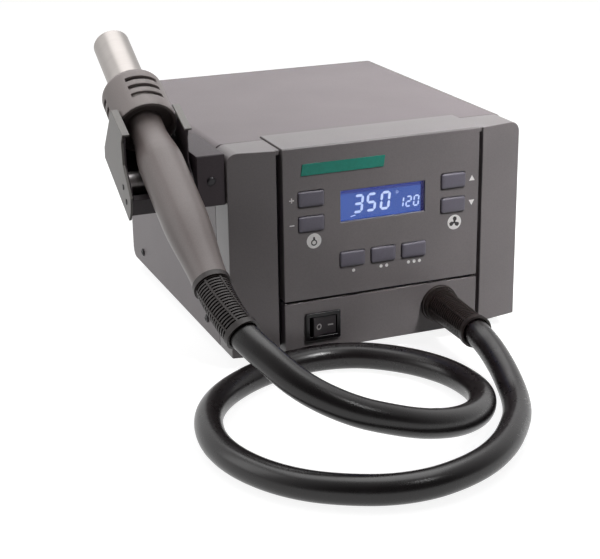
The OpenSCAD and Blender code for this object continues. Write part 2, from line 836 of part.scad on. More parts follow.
module holder_screws() {
    color("silver") at_origin() {
        at_studs() translate([0, 0, -stud_l]) cylinder(r = screw_r, h = stud_l + stud_proud);
        at_inner_screws() pan_screw(inner_screw_l);
        at_bracket_screw() pan_screw(bracket_screw_l);
    }
}

module at_reed() {
    translate([0, beam_front_a + beam_l / 2, beam_top_b - 3]) rotate([0, 90, 0]) children();
}

module reed_sensor() {
    color("lightgreen") at_origin() in_cradle() translate([handle_x, 0, 0]) at_reed()
        cylinder(r = 1.4, h = 16, center = true);
}

module at_inlet(x) {
    translate([x, 0, bottom_z + inlet_z]) children();
}

module mains_inlet() {
    color("black") at_origin() at_inlet(inlet_x) difference() {
        union() {
            along_y(case_d + 0.02, case_d + 3) rounded_rect(inlet_flange_w, inlet_h + 4, 4);
            along_y(case_d - inlet_depth, case_d + 1) rounded_rect(inlet_w, inlet_h, 2);
        }
        along_y(case_d + 3 - inlet_cavity, case_d + 4) rounded_rect(inlet_w - 3, inlet_h - 3.4, 3);
        for (s = [-1, 1]) translate([s * inlet_pitch / 2, case_d + 4, 0]) rotate([90, 0, 0])
            cylinder(r = screw_r + 0.1, h = 6);
        for (p = pin_places) along_y(case_d - inlet_depth - 1, case_d)
            translate([p[0], p[1]]) square([2.1, 5.1], center = true);
    }
}

pin_places = [[-7, -1.6], [0, 2], [7, -1.6]];

module inlet_pins() {
    color("gold") at_origin() at_inlet(inlet_x) for (p = pin_places)
        along_y(case_d - inlet_depth - 6, case_d - 2.4) translate([p[0], p[1]])
            square([2, 5], center = true);
}

module inlet_screws() {
    color("silver") at_origin() at_inlet(inlet_x) for (s = [-1, 1])
        translate([s * inlet_pitch / 2, case_d + 3, 0]) rotate([-90, 0, 0]) pan_screw(9);
}

module fuse_holder() {
    color("black") at_origin() at_inlet(fuse_x) translate([0, case_d + 2, 0]) rotate([90, 0, 0]) {
        difference() {
            union() {
                cylinder(r = fuse_cap_r + 1.2, h = 2 - 0.02);
                cylinder(r = fuse_body_r, h = 30);
            }
            translate([0, 0, -1]) cylinder(r = fuse_body_r - 1.4, h = 27);
        }
    }
}

module fuse_cap() {
    color("dimgray") at_origin() at_inlet(fuse_x) translate([0, case_d + 2.02, 0])
        rotate([-90, 0, 0]) difference() {
            union() {
                cylinder(r = fuse_cap_r, h = fuse_cap_l - 1);
                cylinder(r = fuse_cap_r - 1, h = fuse_cap_l);
                translate([0, 0, -14]) cylinder(r = fuse_body_r - 1.6, h = 15);
            }
            box_between([-fuse_cap_r + 2, -0.6, fuse_cap_l - 1.2], [fuse_cap_r - 2, 0.6, 99]);
        }
}

module feet() {
    color("black") at_origin() at_feet() difference() {
        rotate_extrude() polygon([[0, 0], [foot_r - 1.5, 0], [foot_r - 0.6, 1], [foot_r, foot_h],
                                  [0, foot_h]]);
        translate([0, 0, -1]) cylinder(r = head_r + 0.4, h = 1 + foot_h / 2);
        cylinder(r = screw_r + 0.1, h = foot_h + 1);
    }
}

module foot_screws() {
    color("silver") at_origin() at_feet() translate([0, 0, foot_h / 2]) rotate([180, 0, 0])
        pan_screw(foot_h / 2 + sheet_t + 3);
}

module cover_screws() {
    color("dimgray") at_origin() at_side_screws() pan_screw(6);
}

module rear_screws() {
    color("dimgray") at_origin() at_rear_screws() pan_screw(6);
}

module at_blower_mounts() {
    for (a = [60, 150, 265]) translate([blower_x, blower_y, 0]) rotate([0, 0, a])
        translate([blower_r + mount_r - 1, 0, 0]) children();
}

// The scroll and its outlet seen from above, drawn in by an inset
module scroll_outline(inset) {
    channel = 2 * (spigot_r() + 1) - 2 * inset;
    circle(blower_r - inset);
    translate([outlet_x - blower_x - channel / 2, spigot_y - blower_y + inset])
        square([channel, blower_y - spigot_y - inset]);
}

module blower_housing() {
    color("darkslategray") at_origin() difference() {
        union() {
            translate([blower_x, blower_y, blower_z]) difference() {
                linear_extrude(blower_h - blower_wall) scroll_outline(0);
                translate([0, 0, blower_wall]) linear_extrude(blower_h) scroll_outline(blower_wall);
            }
            translate([outlet_x, spigot_y + 1, bottom_z + outlet_z]) rotate([90, 0, 0])
                cylinder(r = spigot_r(), h = spigot_l + 1);
            at_blower_mounts() translate([0, 0, blower_z]) cylinder(r = mount_r, h = ear_t);
        }
        translate([outlet_x, spigot_y + 6, bottom_z + outlet_z]) rotate([90, 0, 0])
            cylinder(r = bore_r, h = spigot_l + 8);
        translate([blower_x, blower_y, blower_z - 1]) cylinder(r = intake_r, h = blower_wall + 2);
        at_blower_mounts() cylinder(r = screw_r + 0.1, h = 40);
    }
}

module blower_lid() {
    lid_z = blower_z + blower_h - blower_wall + 0.02;
    color("darkslategray") at_origin() translate([blower_x, blower_y, lid_z]) difference() {
        linear_extrude(blower_wall) scroll_outline(0);
        translate([0, 0, -1]) cylinder(r = shaft_r + 1.2, h = blower_wall + 2);
    }
}

module blower_impeller() {
    hub_r = 6;
    blades = 12;
    low = blower_z + blower_wall + 4;
    color("white") at_origin() translate([blower_x, blower_y, low]) difference() {
        union() {
            translate([0, 0, impeller_h - 1.6]) cylinder(r = impeller_r, h = 1.6);
            cylinder(r = hub_r, h = impeller_h);
            for (i = [0 : blades - 1]) rotate([0, 0, i * 360 / blades])
                box_between([hub_r + 9, -0.8, 0], [impeller_r - 0.5, 0.8, impeller_h - 1]);
        }
        translate([0, 0, -1]) cylinder(r = shaft_r + 0.02, h = impeller_h + 2);
    }
}

module motor_shaft() {
    low = blower_z + blower_wall + 4;
    color("silver") at_origin() translate([blower_x, blower_y, low])
        cylinder(r = shaft_r, h = blower_h + motor_h - blower_wall - 8);
}

module blower_motor() {
    low = blower_z + blower_h + 0.04;
    color("silver") at_origin() translate([blower_x, blower_y, low]) difference() {
        union() {
            cylinder(r = motor_r, h = motor_h - 1.5);
            cylinder(r = motor_r - 1.5, h = motor_h);
            cylinder(r = motor_r + 4, h = 2);
        }
        translate([0, 0, -1]) cylinder(r = shaft_r + 0.2, h = motor_h - 3);
    }
}

// Rubber mounts push into holes in the base and in the blower's ears
module blower_mounts() {
    low = bottom_z + sheet_t;
    color("black") at_origin() at_blower_mounts() {
        translate([0, 0, low + 0.02]) cylinder(r = mount_r, h = blower_z - low - 0.04);
        translate([0, 0, bottom_z - 0.4])
            cylinder(r = screw_r + 0.05, h = blower_z + ear_t + 0.8 - bottom_z);
    }
}

module air_duct() {
    back_y = spigot_y - 0.3;
    front_y = plate_y + plate_t + 0.3;
    color("black") at_origin() translate([outlet_x, back_y, bottom_z + outlet_z])
        rotate([90, 0, 0]) tube(spigot_r() + 0.1 + duct_wall, spigot_r() + 0.1, back_y - front_y);
}

transformer_w = 46;
transformer_d = 56;
transformer_x = -half_w + sheet_t * 2 + 3 + transformer_w / 2;
transformer_y = 158;
transformer_h = 50;

module at_transformer() {
    translate([transformer_x, transformer_y, bottom_z + sheet_t + 0.02]) children();
}

module transformer_core() {
    window_d = 11;
    leg = transformer_d / 6;
    color("slategray") at_origin() at_transformer() difference() {
        translate([-11, -transformer_d / 2, 0]) cube([22, transformer_d, transformer_h]);
        for (s = [-1, 1]) translate([-12, s * (leg + window_d / 2) - window_d / 2, leg])
            cube([24, window_d, transformer_h - 2 * leg]);
    }
}

module transformer_coil() {
    window_d = 11;
    leg = transformer_d / 6;
    slack = 0.15;
    color("peru") at_origin() at_transformer() translate([0, 0, leg + slack])
        linear_extrude(transformer_h - 2 * leg - 2 * slack) difference() {
            rounded_rect(transformer_w, 2 * (leg + window_d) - 2 * slack, 6);
            square([22 + 2 * slack, 2 * leg + 2 * slack], center = true);
        }
}

board_gap = 5;
board_x0 = -half_w + sheet_t * 2 + 4;
board_x1 = blower_x - blower_r - board_gap;
board_y0 = front_depth + 5;
board_y1 = board_y0 + 76;
board_z = bottom_z + sheet_t + 7;

module at_standoffs() {
    for (x = [board_x0 + 4, board_x1 - 4], y = [board_y0 + 4, board_y1 - 4])
        translate([x, y, 0]) children();
}

module power_board() {
    top = board_z + board_t;
    color("darkgreen") at_origin() {
        difference() {
            box_between([board_x0, board_y0, board_z], [board_x1, board_y1, top]);
            at_standoffs() cylinder(r = 1.6, h = 60);
        }
        for (i = [0 : 1]) translate([board_x0 + 14 + i * 15, board_y0 + 14, top - 0.1])
            cylinder(r = 6.3, h = 26);
        box_between([board_x0 + 10, board_y1 - 26, top - 0.1], [board_x0 + 34, board_y1 - 10, top + 16]);
        box_between([board_x1 - 16, board_y0 + 10, top - 0.1], [board_x1 - 6, board_y0 + 38, top + 9]);
    }
}

module board_standoffs() {
    low = bottom_z + sheet_t + 0.02;
    color("gold") at_origin() at_standoffs() {
        translate([0, 0, low]) cylinder(r = 2.8, h = board_z - low - 0.02);
        translate([0, 0, board_z - 1]) cylinder(r = 1.5, h = board_t + 3);
    }
}

module heat_sink() {
    fins = 6;
    low = board_z + board_t + 0.02;
    color("lightgray") at_origin() translate([board_x1 - 14, board_y0 + 44, low])
        linear_extrude(30) union() {
            square([2.4, 24]);
            for (i = [0 : fins - 1]) translate([2, i * 22.8 / (fins - 1)]) square([9, 1.2]);
        }
}

// The pipe is a little thicker inside the collar
root_r = pipe_r + 0.6;

module nozzle_pipe() {
    color("silver") at_origin() on_handle() rotate_extrude() polygon([
        [pipe_r - pipe_t, flange_a], [plug_r, flange_a], [plug_r, flange_a + flange_t],
        [root_r, flange_a + flange_t], [root_r, collar_l + 0.5], [pipe_r, collar_l + 0.6],
        [pipe_r, collar_l + pipe_l - 0.4], [pipe_r - 0.3, collar_l + pipe_l],
        [pipe_r - pipe_t, collar_l + pipe_l]]);
}

// The collar shields the hot pipe and lets air out through three groups of slots
module vent_collar() {
    slot_w = 2.8;
    slot_angle = 64;
    slot_turn = 8;
    slot_a = 10;
    slot_pitch = 6.8;
    rim = 0.4;
    nose_r = 5;
    color("dimgray") at_origin() on_handle() difference() {
        rotate_extrude() difference() {
            union() {
                polygon([[root_r, 0], [collar_r - rim, 0], [collar_r, rim], [collar_r, collar_l - nose_r],
                         [collar_r - nose_r, collar_l], [root_r, collar_l]]);
                translate([collar_r - nose_r, collar_l - nose_r]) circle(nose_r);
            }
            span(-1, collar_r - collar_wall, -1, collar_l - collar_wall);
            span(-1, root_r + 0.2, 0, collar_l + 1);
        }
        for (turn = [0, 120, 240], i = [0 : 2]) translate([0, 0, slot_a + i * slot_pitch])
            rotate([0, 0, -90 + slot_turn + turn - slot_angle / 2]) rotate_extrude(angle = slot_angle)
                span(collar_r - collar_wall - 1, collar_r + 1, -slot_w / 2, slot_w / 2);
    }
}

// The grip's half section, from the neck down to the hose end
grip_steps = 24;
grip_stations = [for (i = [0 : grip_steps]) swell_top_a - i * (grip_l + swell_top_a) / grip_steps];

// The neck reaches into the collar and ends in a plug that fills it
module handle_grip() {
    wall = 2.2;
    plug_end = plug_a + plug_l;
    outside = [for (a = grip_stations) [grip_radius(a), a]];
    inside = [for (i = [grip_steps - 1 : -1 : 0]) outside[i] - [wall, 0]];
    color("dimgray") at_origin() on_handle() difference() {
        rotate_extrude() polygon(concat([[neck_r - wall, plug_end], [plug_r, plug_end], [plug_r, plug_a],
                                         [neck_r, plug_a]],
                                        outside, [[relief_r - 2, -grip_l], [relief_r - 2, -grip_l + 2]],
                                        inside));
        translate([0, grip_r + 0.4, -40]) rotate([90, 0, 0]) cylinder(r = 3.1, h = 3);
    }
}

module grip_magnet() {
    color("silver") at_origin() on_handle() translate([0, grip_r - 0.5, -40]) rotate([90, 0, 0])
        cylinder(r = 3, h = 2);
}

// Heating wire on a ridged ceramic former, held inside the pipe by a mica tube
heater_a = flange_a + 1;
heater_l = collar_l + pipe_l - heater_a - 12;
mica_wall = 1.9;

module heater_core() {
    ridges = 9;
    core_r = pipe_r - pipe_t - 0.2 - mica_wall - 0.3;
    color("wheat") at_origin() on_handle() translate([0, 0, heater_a]) difference() {
        cylinder(r = core_r, h = heater_l);
        for (i = [1 : ridges]) translate([0, 0, i * heater_l / (ridges + 1)])
            tube(core_r + 2, core_r - 1.2, 2.4);
        for (a = [0 : 60 : 300]) rotate([0, 0, a]) translate([core_r * 0.5, 0, -1])
            cylinder(r = 1.2, h = heater_l + 2);
    }
}

module mica_tube() {
    outer = pipe_r - pipe_t - 0.2;
    color("khaki") at_origin() on_handle() translate([0, 0, heater_a])
        tube(outer, outer - mica_wall, heater_l + 2);
}

// The strain relief is an arc that leaves the grip along its axis and bends towards the case
module handle_strain_relief() {
    ribs = 8;
    step = relief_bend / (ribs + 2);
    color("black") at_origin() on_handle() translate([relief_bend_r, 0, -grip_l])
        rotate([-90, 0, 0]) rotate([0, 0, 180]) difference() {
            union() {
                relief_arc(0, relief_bend, relief_r - 1);
                relief_arc(0.01, step, relief_r + 0.3);
                for (i = [1 : ribs]) relief_arc((i + 0.4) * step, (i + 0.95) * step, relief_r - 0.1);
                relief_arc(relief_bend - step * 0.8, relief_bend, relief_r);
            }
            relief_arc(-1, relief_bend + 1, bore_r);
        }
}

module relief_arc(a0, a1, r) {
    rotate([0, 0, -a1]) rotate_extrude(angle = a1 - a0) translate([relief_bend_r, 0]) circle(r);
}

base_plate();
top_cover();
rear_panel();
front_frame();
left_wing();
right_wing();
control_panel();
lower_panel();
badge_plate();
lcd_window();
lcd_module();
display_board();
tact_switches();
temp_up_button();
temp_down_button();
air_up_button();
air_down_button();
preset_1_button();
preset_2_button();
preset_3_button();
switch_bezel();
power_rocker();
outlet_bush();
outlet_strain_relief();
hose();
holder_bracket();
holder_tray();
outer_cheek();
inner_cheek();
rest_bar();
holder_screws();
reed_sensor();
mains_inlet();
inlet_pins();
inlet_screws();
fuse_holder();
fuse_cap();
feet();
foot_screws();
cover_screws();
rear_screws();
blower_housing();
blower_lid();
blower_impeller();
motor_shaft();
blower_motor();
blower_mounts();
air_duct();
transformer_core();
transformer_coil();
power_board();
board_standoffs();
heat_sink();
nozzle_pipe();
vent_collar();
handle_grip();
heater_core();
mica_tube();
grip_magnet();
handle_strain_relief();
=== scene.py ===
# %% [markdown]
# A hot air rework station, dressed piece by piece.
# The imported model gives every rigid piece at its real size. This file adds what a model of
# solids has no room for: surface finishes, softened edges, printed marks, a lit display, the
# rungs of the strain reliefs and a smooth hose. It then lights the station as a catalogue does.

# %% Load the frame
import json
import math

import bmesh
import bpy
from mathutils import Matrix, Vector


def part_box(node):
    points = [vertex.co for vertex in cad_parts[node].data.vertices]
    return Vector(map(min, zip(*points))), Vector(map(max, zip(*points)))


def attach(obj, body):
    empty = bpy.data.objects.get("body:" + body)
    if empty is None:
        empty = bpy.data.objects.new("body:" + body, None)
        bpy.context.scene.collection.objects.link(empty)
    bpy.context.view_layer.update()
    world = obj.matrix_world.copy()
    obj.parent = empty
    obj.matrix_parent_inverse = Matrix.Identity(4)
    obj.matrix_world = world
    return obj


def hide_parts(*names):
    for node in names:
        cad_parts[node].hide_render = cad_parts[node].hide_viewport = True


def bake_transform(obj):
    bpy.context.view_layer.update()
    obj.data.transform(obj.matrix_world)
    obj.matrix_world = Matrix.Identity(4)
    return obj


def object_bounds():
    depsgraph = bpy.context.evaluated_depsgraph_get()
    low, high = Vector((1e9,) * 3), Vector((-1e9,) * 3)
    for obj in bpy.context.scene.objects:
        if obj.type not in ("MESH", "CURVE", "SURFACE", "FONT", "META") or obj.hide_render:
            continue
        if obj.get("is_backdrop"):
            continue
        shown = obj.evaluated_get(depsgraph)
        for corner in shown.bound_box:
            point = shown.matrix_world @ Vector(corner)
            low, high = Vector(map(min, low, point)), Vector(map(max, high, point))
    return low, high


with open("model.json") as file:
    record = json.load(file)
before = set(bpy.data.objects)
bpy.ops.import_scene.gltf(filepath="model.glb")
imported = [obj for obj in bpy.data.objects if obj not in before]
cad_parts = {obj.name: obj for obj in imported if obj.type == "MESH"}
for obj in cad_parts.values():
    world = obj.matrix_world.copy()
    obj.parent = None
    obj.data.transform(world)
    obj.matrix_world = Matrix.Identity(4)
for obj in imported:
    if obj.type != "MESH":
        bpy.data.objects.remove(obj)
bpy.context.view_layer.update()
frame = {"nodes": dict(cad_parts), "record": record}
nodes = frame["nodes"]
MM = 0.001
print("pieces in the frame:", len(nodes))

# %% [markdown]
# All places below are counted from the case, in millimetres: X from its middle, Y back from the
# face of its centre panel and Z up from the bench. Two boxes of the frame say where that is.
# A helper then turns such a place into the frame's metres, so no place is written twice.

# %% Places on the case
cover_low, cover_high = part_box("top_cover")
panel_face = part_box("control_panel")[0][1]
CASE = Vector(((cover_low[0] + cover_high[0]) / 2, panel_face, 0.0))


def place(x, y, z):
    """A point counted from the case in millimetres, in the frame's metres."""
    return CASE + Vector((x, y, z)) * MM


def middle_of(node):
    """The middle of a node's box, counted from the case in millimetres."""
    low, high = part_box(node)
    return ((Vector(low) + Vector(high)) / 2 - CASE) / MM


print("case corner in the frame, mm:", [round(v / MM, 1) for v in CASE])

# %% [markdown]
# The camera stands to the left of the station and a little above it, far away with a long lens,
# so that upright edges stay nearly parallel. Its place, turn and lens could be found by eye, but
# the case's straight edges in the photograph give them by a fit, and every size relies on them.
# The small roll is the photograph's own tilt.

# %% Camera
PHOTO_WIDTH = 600
FOCAL_PIXELS = 1454.85
SENSOR_MM = 36.0
CAMERA_PLACE = (-347.8, -744.4, 337.6)
CAMERA_TURN = -21.58
CAMERA_DOWN = 19.51
CAMERA_ROLL = 0.93
NEAREST_SEEN, FARTHEST_SEEN = 0.01, 50.0

camera_data = bpy.data.cameras.new("camera")
camera_data.sensor_width = SENSOR_MM
camera_data.lens = FOCAL_PIXELS * SENSOR_MM / PHOTO_WIDTH
camera_data.clip_start = NEAREST_SEEN
camera_data.clip_end = FARTHEST_SEEN
camera = bpy.data.objects.new("camera", camera_data)
bpy.context.collection.objects.link(camera)
camera.matrix_world = (
    Matrix.Translation(place(*CAMERA_PLACE))
    @ Matrix.Rotation(math.radians(CAMERA_TURN), 4, "Z")
    @ Matrix.Rotation(math.radians(90 - CAMERA_DOWN), 4, "X")
    @ Matrix.Rotation(math.radians(-CAMERA_ROLL), 4, "Z")
)
bpy.context.scene.camera = camera
print("lens, mm:", round(camera_data.lens, 1))

# %% [markdown]
# The handle lies in its holder, nozzle up. Its axis, its neck and its strain relief say where
# the hose arrives. The relief is an arc that leaves the grip straight and bends towards the
# case. The outlet's relief is straight and droops a little. Each is a function of the length
# along it, because the hose and the sleeves both need points on these two lines.

# %% Handle and outlet places
LEAN = math.radians(28)
AXIS = Vector((0, math.cos(LEAN), math.sin(LEAN)))
NECK = Vector((-131.1, 36.5, 144.5))
GRIP_LENGTH = 123.0
HANDLE_RELIEF = 38.0
RELIEF_BEND_RADIUS = 140.0
OUTLET_FACE = Vector((37.5, -2.5, 25.5))
OUTLET_RELIEF = 46.0
OUTLET_DROOP = math.radians(2)
OUTLET_AIM = Vector((0, -math.cos(OUTLET_DROOP), -math.sin(OUTLET_DROOP)))


def handle_relief_at(s):
    """The middle of the handle's strain relief, s millimetres from the grip's end."""
    turned = s / RELIEF_BEND_RADIUS
    side = Vector((1, 0, 0)) * RELIEF_BEND_RADIUS * (1 - math.cos(turned))
    return NECK - AXIS * (GRIP_LENGTH + RELIEF_BEND_RADIUS * math.sin(turned)) + side


def outlet_relief_at(s):
    """The middle of the outlet's strain relief, s millimetres from the outlet's ring."""
    return OUTLET_FACE + OUTLET_AIM * s


OUTLET = outlet_relief_at(OUTLET_RELIEF)
HANDLE_END = handle_relief_at(HANDLE_RELIEF)
print("hose runs from", [round(v, 1) for v in OUTLET], "to", [round(v, 1) for v in HANDLE_END])

# %% [markdown]
# The hose is silicone rubber over a spiral, as thick as a thumb. It leaves the outlet, drops to
# the bench, makes one and a half turns in front of the case and climbs to the handle. A physics
# run could lay it, but not where the photograph shows it, so a row of listed points gives its
# route. A spline through the points keeps the bends round, and short steps along it carry the
# rings of the tube. Both ends run on inside the strain reliefs.

# %% Hose route
HOSE_WIDTH = 15.5
HOSE_POINTS = [
    (38, -63, 20), (36.5, -78, 16), (33.5, -93, 12.5), (28, -111, 9), (20, -127, 8),
    (9, -142, 8), (-4, -156, 8), (-20, -168, 8), (-38, -176, 8), (-58, -180, 8),
    (-78, -178, 8), (-97, -170, 8), (-114, -158, 8), (-127, -142, 8), (-136, -122, 8),
    (-139.5, -101, 8), (-137.5, -80, 8), (-130.5, -60, 8), (-118, -42.5, 8),
    (-101, -28.5, 8), (-82, -18.5, 8), (-62, -13, 8), (-43, -12.5, 8),
    (-25, -17.5, 8), (-10, -28, 8), (3, -43, 8), (12, -61, 8), (15, -81, 8.5),
    (12, -101, 10), (2, -120, 12.5), (-12, -135, 16), (-29, -146, 20.5),
    (-48, -152, 26), (-66, -153, 32), (-83, -150, 38), (-98, -143, 45),
    (-109, -134, 52), (-117.5, -122, 60),
]
TUCKED_IN = 20.0
STEPS = 8


def spline_through(points, steps):
    """Points of a smooth curve through a row of points, with the same steps in each gap."""
    padded = [points[0] * 2 - points[1]] + points + [points[-1] * 2 - points[-2]]
    out = []
    for i in range(1, len(padded) - 2):
        p0, p1, p2, p3 = padded[i - 1:i + 3]
        m1 = (p2 - p0) * ((p2 - p1).length / (p2 - p0).length)
        m2 = (p3 - p1) * ((p2 - p1).length / (p3 - p1).length)
        for k in range(steps):
            t = k / steps
            out.append(
                p1 * (2 * t**3 - 3 * t**2 + 1) + m1 * (t**3 - 2 * t**2 + t)
                + p2 * (-2 * t**3 + 3 * t**2) + m2 * (t**3 - t**2)
            )
    return out + [points[-1]]


start = outlet_relief_at(OUTLET_RELIEF - TUCKED_IN)
finish = handle_relief_at(HANDLE_RELIEF - TUCKED_IN)
route = [start, OUTLET] + [Vector(p) for p in HOSE_POINTS] + [HANDLE_END, finish]
hose_path = [place(*p) for p in spline_through(route, STEPS)]

# %% [markdown]
# Many shapes here are rings of points joined by quads: the hose is a row of circles, and a key
# is a stack of rounded rectangles. So the joining is a helper of its own. Two more helpers turn
# such a mesh into an object at the origin and shade it smooth.

# %% Lofts
def mesh_object(name, bm):
    """A new object at the origin from a bmesh, which it frees."""
    data = bpy.data.meshes.new(name)
    bmesh.ops.recalc_face_normals(bm, faces=bm.faces)
    bm.to_mesh(data)
    bm.free()
    made = bpy.data.objects.new(name, data)
    bpy.context.collection.objects.link(made)
    return made


def smooth(made, angle):
    """Shades a mesh smooth, but keeps the edges sharper than an angle in degrees."""
    made.data.shade_smooth()
    made.data.set_sharp_from_angle(angle=math.radians(angle))
    return made


def loft(bm, rings):
    """Joins rings of equally many points by quads and closes both ends."""
    made = [[bm.verts.new(p) for p in ring] for ring in rings]
    count = len(rings[0])
    for a, b in zip(made, made[1:]):
        for k in range(count):
            bm.faces.new((a[k], a[(k + 1) % count], b[(k + 1) % count], b[k]))
    bm.faces.new(made[0][::-1])
    bm.faces.new(made[-1])


print("loft helpers ready")

# %% [markdown]
# A tube along a path needs a pair of directions at each step that doesn't twist. Carrying the
# last pair over and straightening it against the new direction does that, and every ring is
# then a circle in that pair. A curve with a round bevel would be shorter to write. The mesh is
# made here instead, so that each ring stands at a step of the spline.

# %% Hose
HOSE_SIDES, HOSE_SMOOTH = 40, 60


def rings_along(path, radius, sides):
    """Circles round a path that don't twist from one to the next."""
    side = None
    rings = []
    for i, point in enumerate(path):
        ahead = path[min(i + 1, len(path) - 1)] - path[max(i - 1, 0)]
        ahead.normalize()
        side = ahead.orthogonal() if side is None else side - ahead * side.dot(ahead)
        side.normalize()
        up = ahead.cross(side)
        turns = [2 * math.pi * k / sides for k in range(sides)]
        rings.append([point + (side * math.cos(a) + up * math.sin(a)) * radius for a in turns])
    return rings


bm = bmesh.new()
loft(bm, rings_along(hose_path, HOSE_WIDTH / 2 * MM, HOSE_SIDES))
hose = smooth(mesh_object("hose_skin", bm), HOSE_SMOOTH)
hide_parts("hose")
print("hose faces:", len(hose.data.polygons))

# %% [markdown]
# Every finish below is one Principled shader with a pattern on its sockets. One function adds a
# node with its settings and links, and one turns the colour as a person writes it, a hex code,
# into the linear numbers that a shader works with.

# %% Shader helpers
# A Mix node has sockets for every kind of value. These are the ones of its two colours
MIX_LOW, MIX_HIGH, MIX_RESULT = 6, 7, 2
COLOURS = {"data_type": "RGBA"}


def linear(code):
    """An sRGB hex colour as the linear RGBA that shaders take."""
    parts = [int(code[i:i + 2], 16) / 255 for i in (1, 3, 5)]
    lit = [p / 12.92 if p <= 0.04045 else ((p + 0.055) / 1.055) ** 2.4 for p in parts]
    return (*lit, 1.0)


def add(tree, kind, settings=None, inputs=None):
    """Adds a node. settings are its own values. An input is a value, or a socket or a node to
    link from, or a list of these. A node stands for its first output."""
    made = tree.nodes.new(kind)
    for key, value in (settings or {}).items():
        setattr(made, key, value)
    for key, given in (inputs or {}).items():
        for value in given if isinstance(given, list) else [given]:
            if isinstance(value, bpy.types.Node):
                value = value.outputs[0]
            if isinstance(value, bpy.types.NodeSocket):
                tree.links.new(value, made.inputs[key])
            else:
                made.inputs[key].default_value = value
    return made


def shader(name, **inputs):
    """A material with one Principled shader, and the tree and shader to add a pattern to."""
    made = bpy.data.materials.new(name)
    made.use_nodes = True
    tree = made.node_tree
    tree.nodes.clear()
    body = add(tree, "ShaderNodeBsdfPrincipled", None, inputs)
    add(tree, "ShaderNodeOutputMaterial", None, {"Surface": body})
    return made, tree, body


print("shader helpers ready")

# %% [markdown]
# The most common pattern is a fine grain: a little light and dark, a little relief and a little
# change of gloss, at a size in millimetres. A scan of each surface could give it, but noise on
# the object's own coordinates needs no picture and no unwrapping, and it fits every piece. A
# second, wide noise adds faint clouds, so that no large face is one flat colour.

# %% Grained finish
CLOUD_MM = 45.0
CLOUD_DETAIL = 2.0
GRAIN_ROUGHNESS = 0.6
# A noise seldom leaves the first span, nor the sum of two noises the second
NOISE_LOW, NOISE_HIGH = 0.3, 0.7
SUM_LOW, SUM_HIGH = 0.7, 1.3


def grained(name, low, high, grain_mm, depth_mm, rough, stretch=None, turn=0.0, detail=3.0,
            **inputs):
    """A surface with a fine grain and faint clouds. stretch draws the grain out along an axis."""
    made, tree, body = shader(name, **inputs)
    where = add(tree, "ShaderNodeTexCoord").outputs["Object"]
    if stretch:
        turned = add(tree, "ShaderNodeMapping", None, {"Vector": where, "Rotation": (turn, 0, 0)})
        where = add(tree, "ShaderNodeMapping", None, {"Vector": turned, "Scale": stretch})
    grain = add(tree, "ShaderNodeTexNoise", None,
                {"Vector": where, "Scale": 1 / (grain_mm * MM), "Detail": detail,
                 "Roughness": GRAIN_ROUGHNESS})
    cloud = add(tree, "ShaderNodeTexNoise", None,
                {"Vector": where, "Scale": 1 / (CLOUD_MM * MM), "Detail": CLOUD_DETAIL})
    both = add(tree, "ShaderNodeMath", {"operation": "ADD"}, {0: grain, 1: cloud})
    share = add(tree, "ShaderNodeMapRange", None,
                {"Value": both, "From Min": SUM_LOW, "From Max": SUM_HIGH})
    tint = add(tree, "ShaderNodeMix", COLOURS,
               {"Factor": share, MIX_LOW: linear(low), MIX_HIGH: linear(high)})
    tree.links.new(tint.outputs[MIX_RESULT], body.inputs["Base Color"])
    gloss = add(tree, "ShaderNodeMapRange", None,
                {"Value": grain, "From Min": NOISE_LOW, "From Max": NOISE_HIGH,
                 "To Min": rough[0], "To Max": rough[1]})
    tree.links.new(gloss.outputs[0], body.inputs["Roughness"])
    if depth_mm:
        bump = add(tree, "ShaderNodeBump", None, {"Height": grain, "Distance": depth_mm * MM})
        tree.links.new(bump.outputs[0], body.inputs["Normal"])
    return made


print("grained finish ready, clouds of", CLOUD_MM, "mm")

# %% [markdown]
# Sheet steel first. The cover is bent steel with a warm grey powder coat: a powder melts to a
# skin with a satin gloss and a faint orange peel, whose dimples are half a millimetre apart.
# The rear panel has the same coat in black. The base isn't painted, only galvanised, and its
# zinc freezes in flakes some millimetres wide. The holder's thin sheets are enamelled. Grains
# finer than a pixel can't show, so they are drawn about twice as coarse as the real ones.

# %% Sheet metal finishes
FINISHES = {
    "cover_paint": grained("powder_coat_warm_grey", "#6A6164", "#746B6E", 1.1, 0.05, (0.4, 0.48)),
    "rear_paint": grained("powder_coat_black", "#242325", "#2C2B2D", 1.1, 0.05, (0.42, 0.52)),
    "zinc_sheet": grained("galvanised_steel", "#5F6264", "#7D8082", 4.0, 0.02, (0.25, 0.5),
                          detail=0.0, Metallic=1.0),
    "holder_black": grained("black_enamel", "#40393D", "#494145", 0.9, 0.02, (0.4, 0.5),
                            **{"Specular IOR Level": 0.25}),
    "cheek_paint": grained("grey_enamel", "#74706D", "#7E7A77", 0.9, 0.03, (0.38, 0.46)),
}
print("sheet metal finishes:", len(FINISHES))

# %% [markdown]
# Next the moulded pieces. The front is ABS from a spark-eroded mould, which leaves a fine dry
# texture that scatters light. The keys are smoother ABS with a bluish tint, and the grip is
# satin ABS. The power switch's bezel is polished nylon, its rocker is satin nylon and the vent
# collar matte nylon. The rocker and the collar share a slot with other pieces in the record, so
# their finishes go by the node's name. These grains too are drawn two to three times as coarse
# as the real ones.

